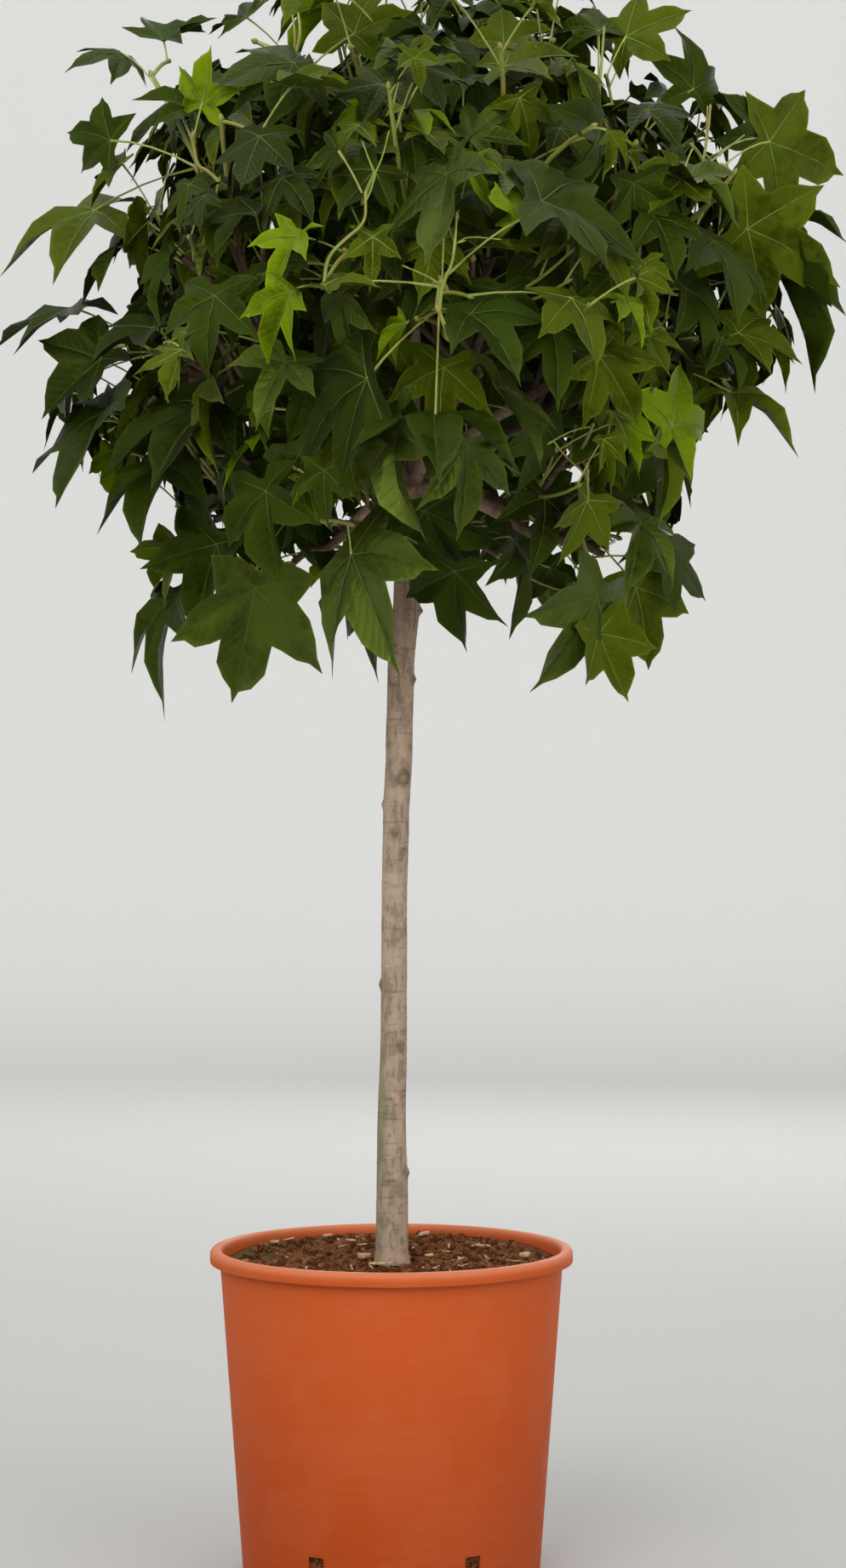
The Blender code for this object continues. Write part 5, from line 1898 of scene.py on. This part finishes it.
class TOPIARY_OT_leaves(Operator):
    """Hangs the leaves, one joined piece for each green, with their stalks and veins"""

    bl_idname = "topiary.leaves"
    bl_label = "Leaves"

    def execute(self, context):
        look = context.scene.topiary.head
        head = grown()
        shares, _, _, faces = leaf_blank()
        for tone in TONES:
            chosen = [leaf for leaf in head.leaves if leaf.tone == tone]
            points, corners = joined((leaf.blade().tolist(), faces) for leaf in chosen)
            data = mesh_from_arrays(f"leaves_{tone}", points, corners)
            for name, values in zip(("along", "across", "margin"), blank_ribs()):
                write(data, name, np.tile(values, len(chosen)))
            write(data, "shift", np.repeat([leaf.shift for leaf in chosen], len(shares)))
            sheen = WAXY_SHEEN if tone == "grey" else PLAIN_SHEEN
            skin = leaf_skin(tone, getattr(look, tone), *sheen)
            add_piece(f"leaves_{tone}", data, skin, "leaves", *FOLIAGE_NODES)
        stalk = plain_grain("leaf_stalk", look.stalk, brighter(look.stalk, 1.3), 50.0, 0.5, 0.3, 0.1)
        add_piece("stalks", tubes("stalks", [leaf.stalk() for leaf in head.leaves], 0), stalk, "leaves")
        for name, tones, strength in (("veins", TONES[:4], 1.0), ("fresh_veins", TONES[4:], 2.0)):
            courses = [vein for leaf in head.leaves if leaf.tone in tones for vein in leaf.veins()]
            vein = brighter(look.vein, strength)
            skin = plain_grain(name, vein, brighter(vein, 1.2), 60.0, 0.55, 0.2, 0.1)
            add_piece(name, tubes(name, courses, 0), skin, "leaves")
        return {"FINISHED"}


# ---- Stage ----------------------------------------------------------------------------------------

SURROUND_RADIUS = 9.0
SURROUND_HEIGHT = 6.5
SURROUND_BEND = 2.5
SENSOR_WIDTH = 36.0
SKY = (0.82, 0.82, 0.81, 1.0)
SKY_STRENGTH = 0.56
WALL_LAMPS = 6
WALL_LAMP_RADIUS = 4.2
WALL_LAMP_HEIGHT = 5.5
WALL_LAMP_AIM = 0.6
WALL_LAMP_SIZE = (3.0, 1.5)
# Name, place, aim and size of each softbox.
SOFTBOXES = (
    ("key", (-1.4, -3.0, 2.3), (0.0, 0.0, 0.70), (2.2, 2.2)),
    ("fill", (2.2, -2.6, 1.3), (0.0, 0.0, 0.65), (1.8, 2.2)),
    ("top", (0.0, 0.2, 3.4), (0.0, 0.0, 0.8), (2.6, 2.6)),
    ("back", (0.6, 3.2, 2.2), (0.0, 0.0, 0.8), (2.4, 2.0)),
)


def floor_paint(look):
    """Matte paint, paler on the surround than on the floor near the plant."""
    made = Finish("floor_paint", 0.9, 0.1)
    away = made.add("VectorMath", {0: made.stretched((1.0, 1.0, 0.0))}, operation="LENGTH").outputs["Value"]
    base = made.mix(made.ramp(away, 1.0, SURROUND_RADIUS - 1.0), look.floor, look.surround)
    worn, _ = made.mottle(3.0, 0.0, base, made.mix(0.5, base, look.surround))
    return made.finish(made.mix(0.06, base, worn))


def softbox(name, place, target, size, power):
    lamp = bpy.data.lights.new(name, "AREA")
    lamp.shape = "RECTANGLE"
    lamp.size, lamp.size_y = size
    lamp.energy = power
    made = bpy.data.objects.new(name, lamp)
    made.location = place
    made.rotation_euler = (Vector(target) - Vector(place)).to_track_quat("-Z", "Y").to_euler()
    bpy.context.scene.collection.objects.link(made)


class TOPIARY_OT_stage(Operator):
    """Sets up the pale floor with its round surround, the soft lights and the camera"""

    bl_idname = "topiary.stage"
    bl_label = "Stage"

    def execute(self, context):
        look = context.scene.topiary.stage
        scene = context.scene
        camera = bpy.data.cameras.new("camera")
        camera.lens = CAMERA_LENS
        camera.sensor_width = SENSOR_WIDTH
        camera.sensor_fit = "AUTO"
        viewer = bpy.data.objects.new("camera", camera)
        viewer.location = CAMERA_PLACE
        viewer.rotation_euler.x = math.radians(90)
        scene.collection.objects.link(viewer)
        scene.camera = viewer

        profile = [(0.0, 0.0), (0.5, 0.0), (2.0, 0.0), (SURROUND_RADIUS - SURROUND_BEND, 0.0)]
        profile += arc(SURROUND_RADIUS - SURROUND_BEND, SURROUND_BEND, SURROUND_BEND, -84, 0, 14)
        profile += [(SURROUND_RADIUS, SURROUND_HEIGHT)]
        floor_shape = spun(profile, 96)
        bmesh.ops.reverse_faces(floor_shape, faces=floor_shape.faces)
        add_object("floor", mesh_from("floor", floor_shape), floor_paint(look))

        for name, place, aim, size in SOFTBOXES:
            softbox(name, place, aim, size, getattr(look, f"{name}_power"))
        for index in range(WALL_LAMPS):
            azimuth = math.tau * (index + 0.5) / WALL_LAMPS
            high = around(azimuth) * WALL_LAMP_RADIUS + UP * WALL_LAMP_HEIGHT
            aimed = around(azimuth) * SURROUND_RADIUS + UP * WALL_LAMP_AIM
            softbox(f"wall_{index + 1}", high, aimed, WALL_LAMP_SIZE, look.wall_power)

        world = bpy.data.worlds.new("studio")
        world.use_nodes = True
        sky = world.node_tree.nodes["Background"].inputs
        sky["Color"].default_value = SKY
        sky["Strength"].default_value = SKY_STRENGTH
        scene.world = world
        scene.view_settings.view_transform = "Standard"
        return {"FINISHED"}


# ---- Sidebar and registration ---------------------------------------------------------------------


OPERATORS = (
    TOPIARY_OT_stage, TOPIARY_OT_pot, TOPIARY_OT_compost,
    TOPIARY_OT_stem, TOPIARY_OT_twigs, TOPIARY_OT_leaves,
)


class TOPIARY_PT_sidebar(Panel):
    """Lists the pieces and what can be changed about them"""

    bl_label = "Topiary"
    bl_idname = "TOPIARY_PT_sidebar"
    bl_space_type = "VIEW_3D"
    bl_region_type = "UI"
    bl_category = "Topiary"

    def draw(self, context):
        for operator in OPERATORS:
            self.layout.operator(operator.bl_idname)
        for key in ("pot", "compost", "bark", "head", "stage"):
            box = self.layout.box()
            box.label(text=key.capitalize())
            look = getattr(context.scene.topiary, key)
            for label in look.bl_rna.properties.keys():
                if label not in ("rna_type", "name"):
                    box.prop(look, label)


CLASSES = (
    PotFinish, CompostFinish, BarkFinish, HeadFinish, StageFinish, Topiary, *OPERATORS, TOPIARY_PT_sidebar,
)


def register():
    for cls in CLASSES:
        bpy.utils.register_class(cls)
    bpy.types.Scene.topiary = PointerProperty(type=Topiary)


def unregister():
    del bpy.types.Scene.topiary
    for cls in reversed(CLASSES):
        bpy.utils.unregister_class(cls)


def main():
    register()
    bpy.ops.topiary.stage()
    bpy.ops.topiary.pot()
    bpy.ops.topiary.compost()
    bpy.ops.topiary.stem()
    bpy.ops.topiary.twigs()
    bpy.ops.topiary.leaves()


if __name__ == "__main__":
    main()
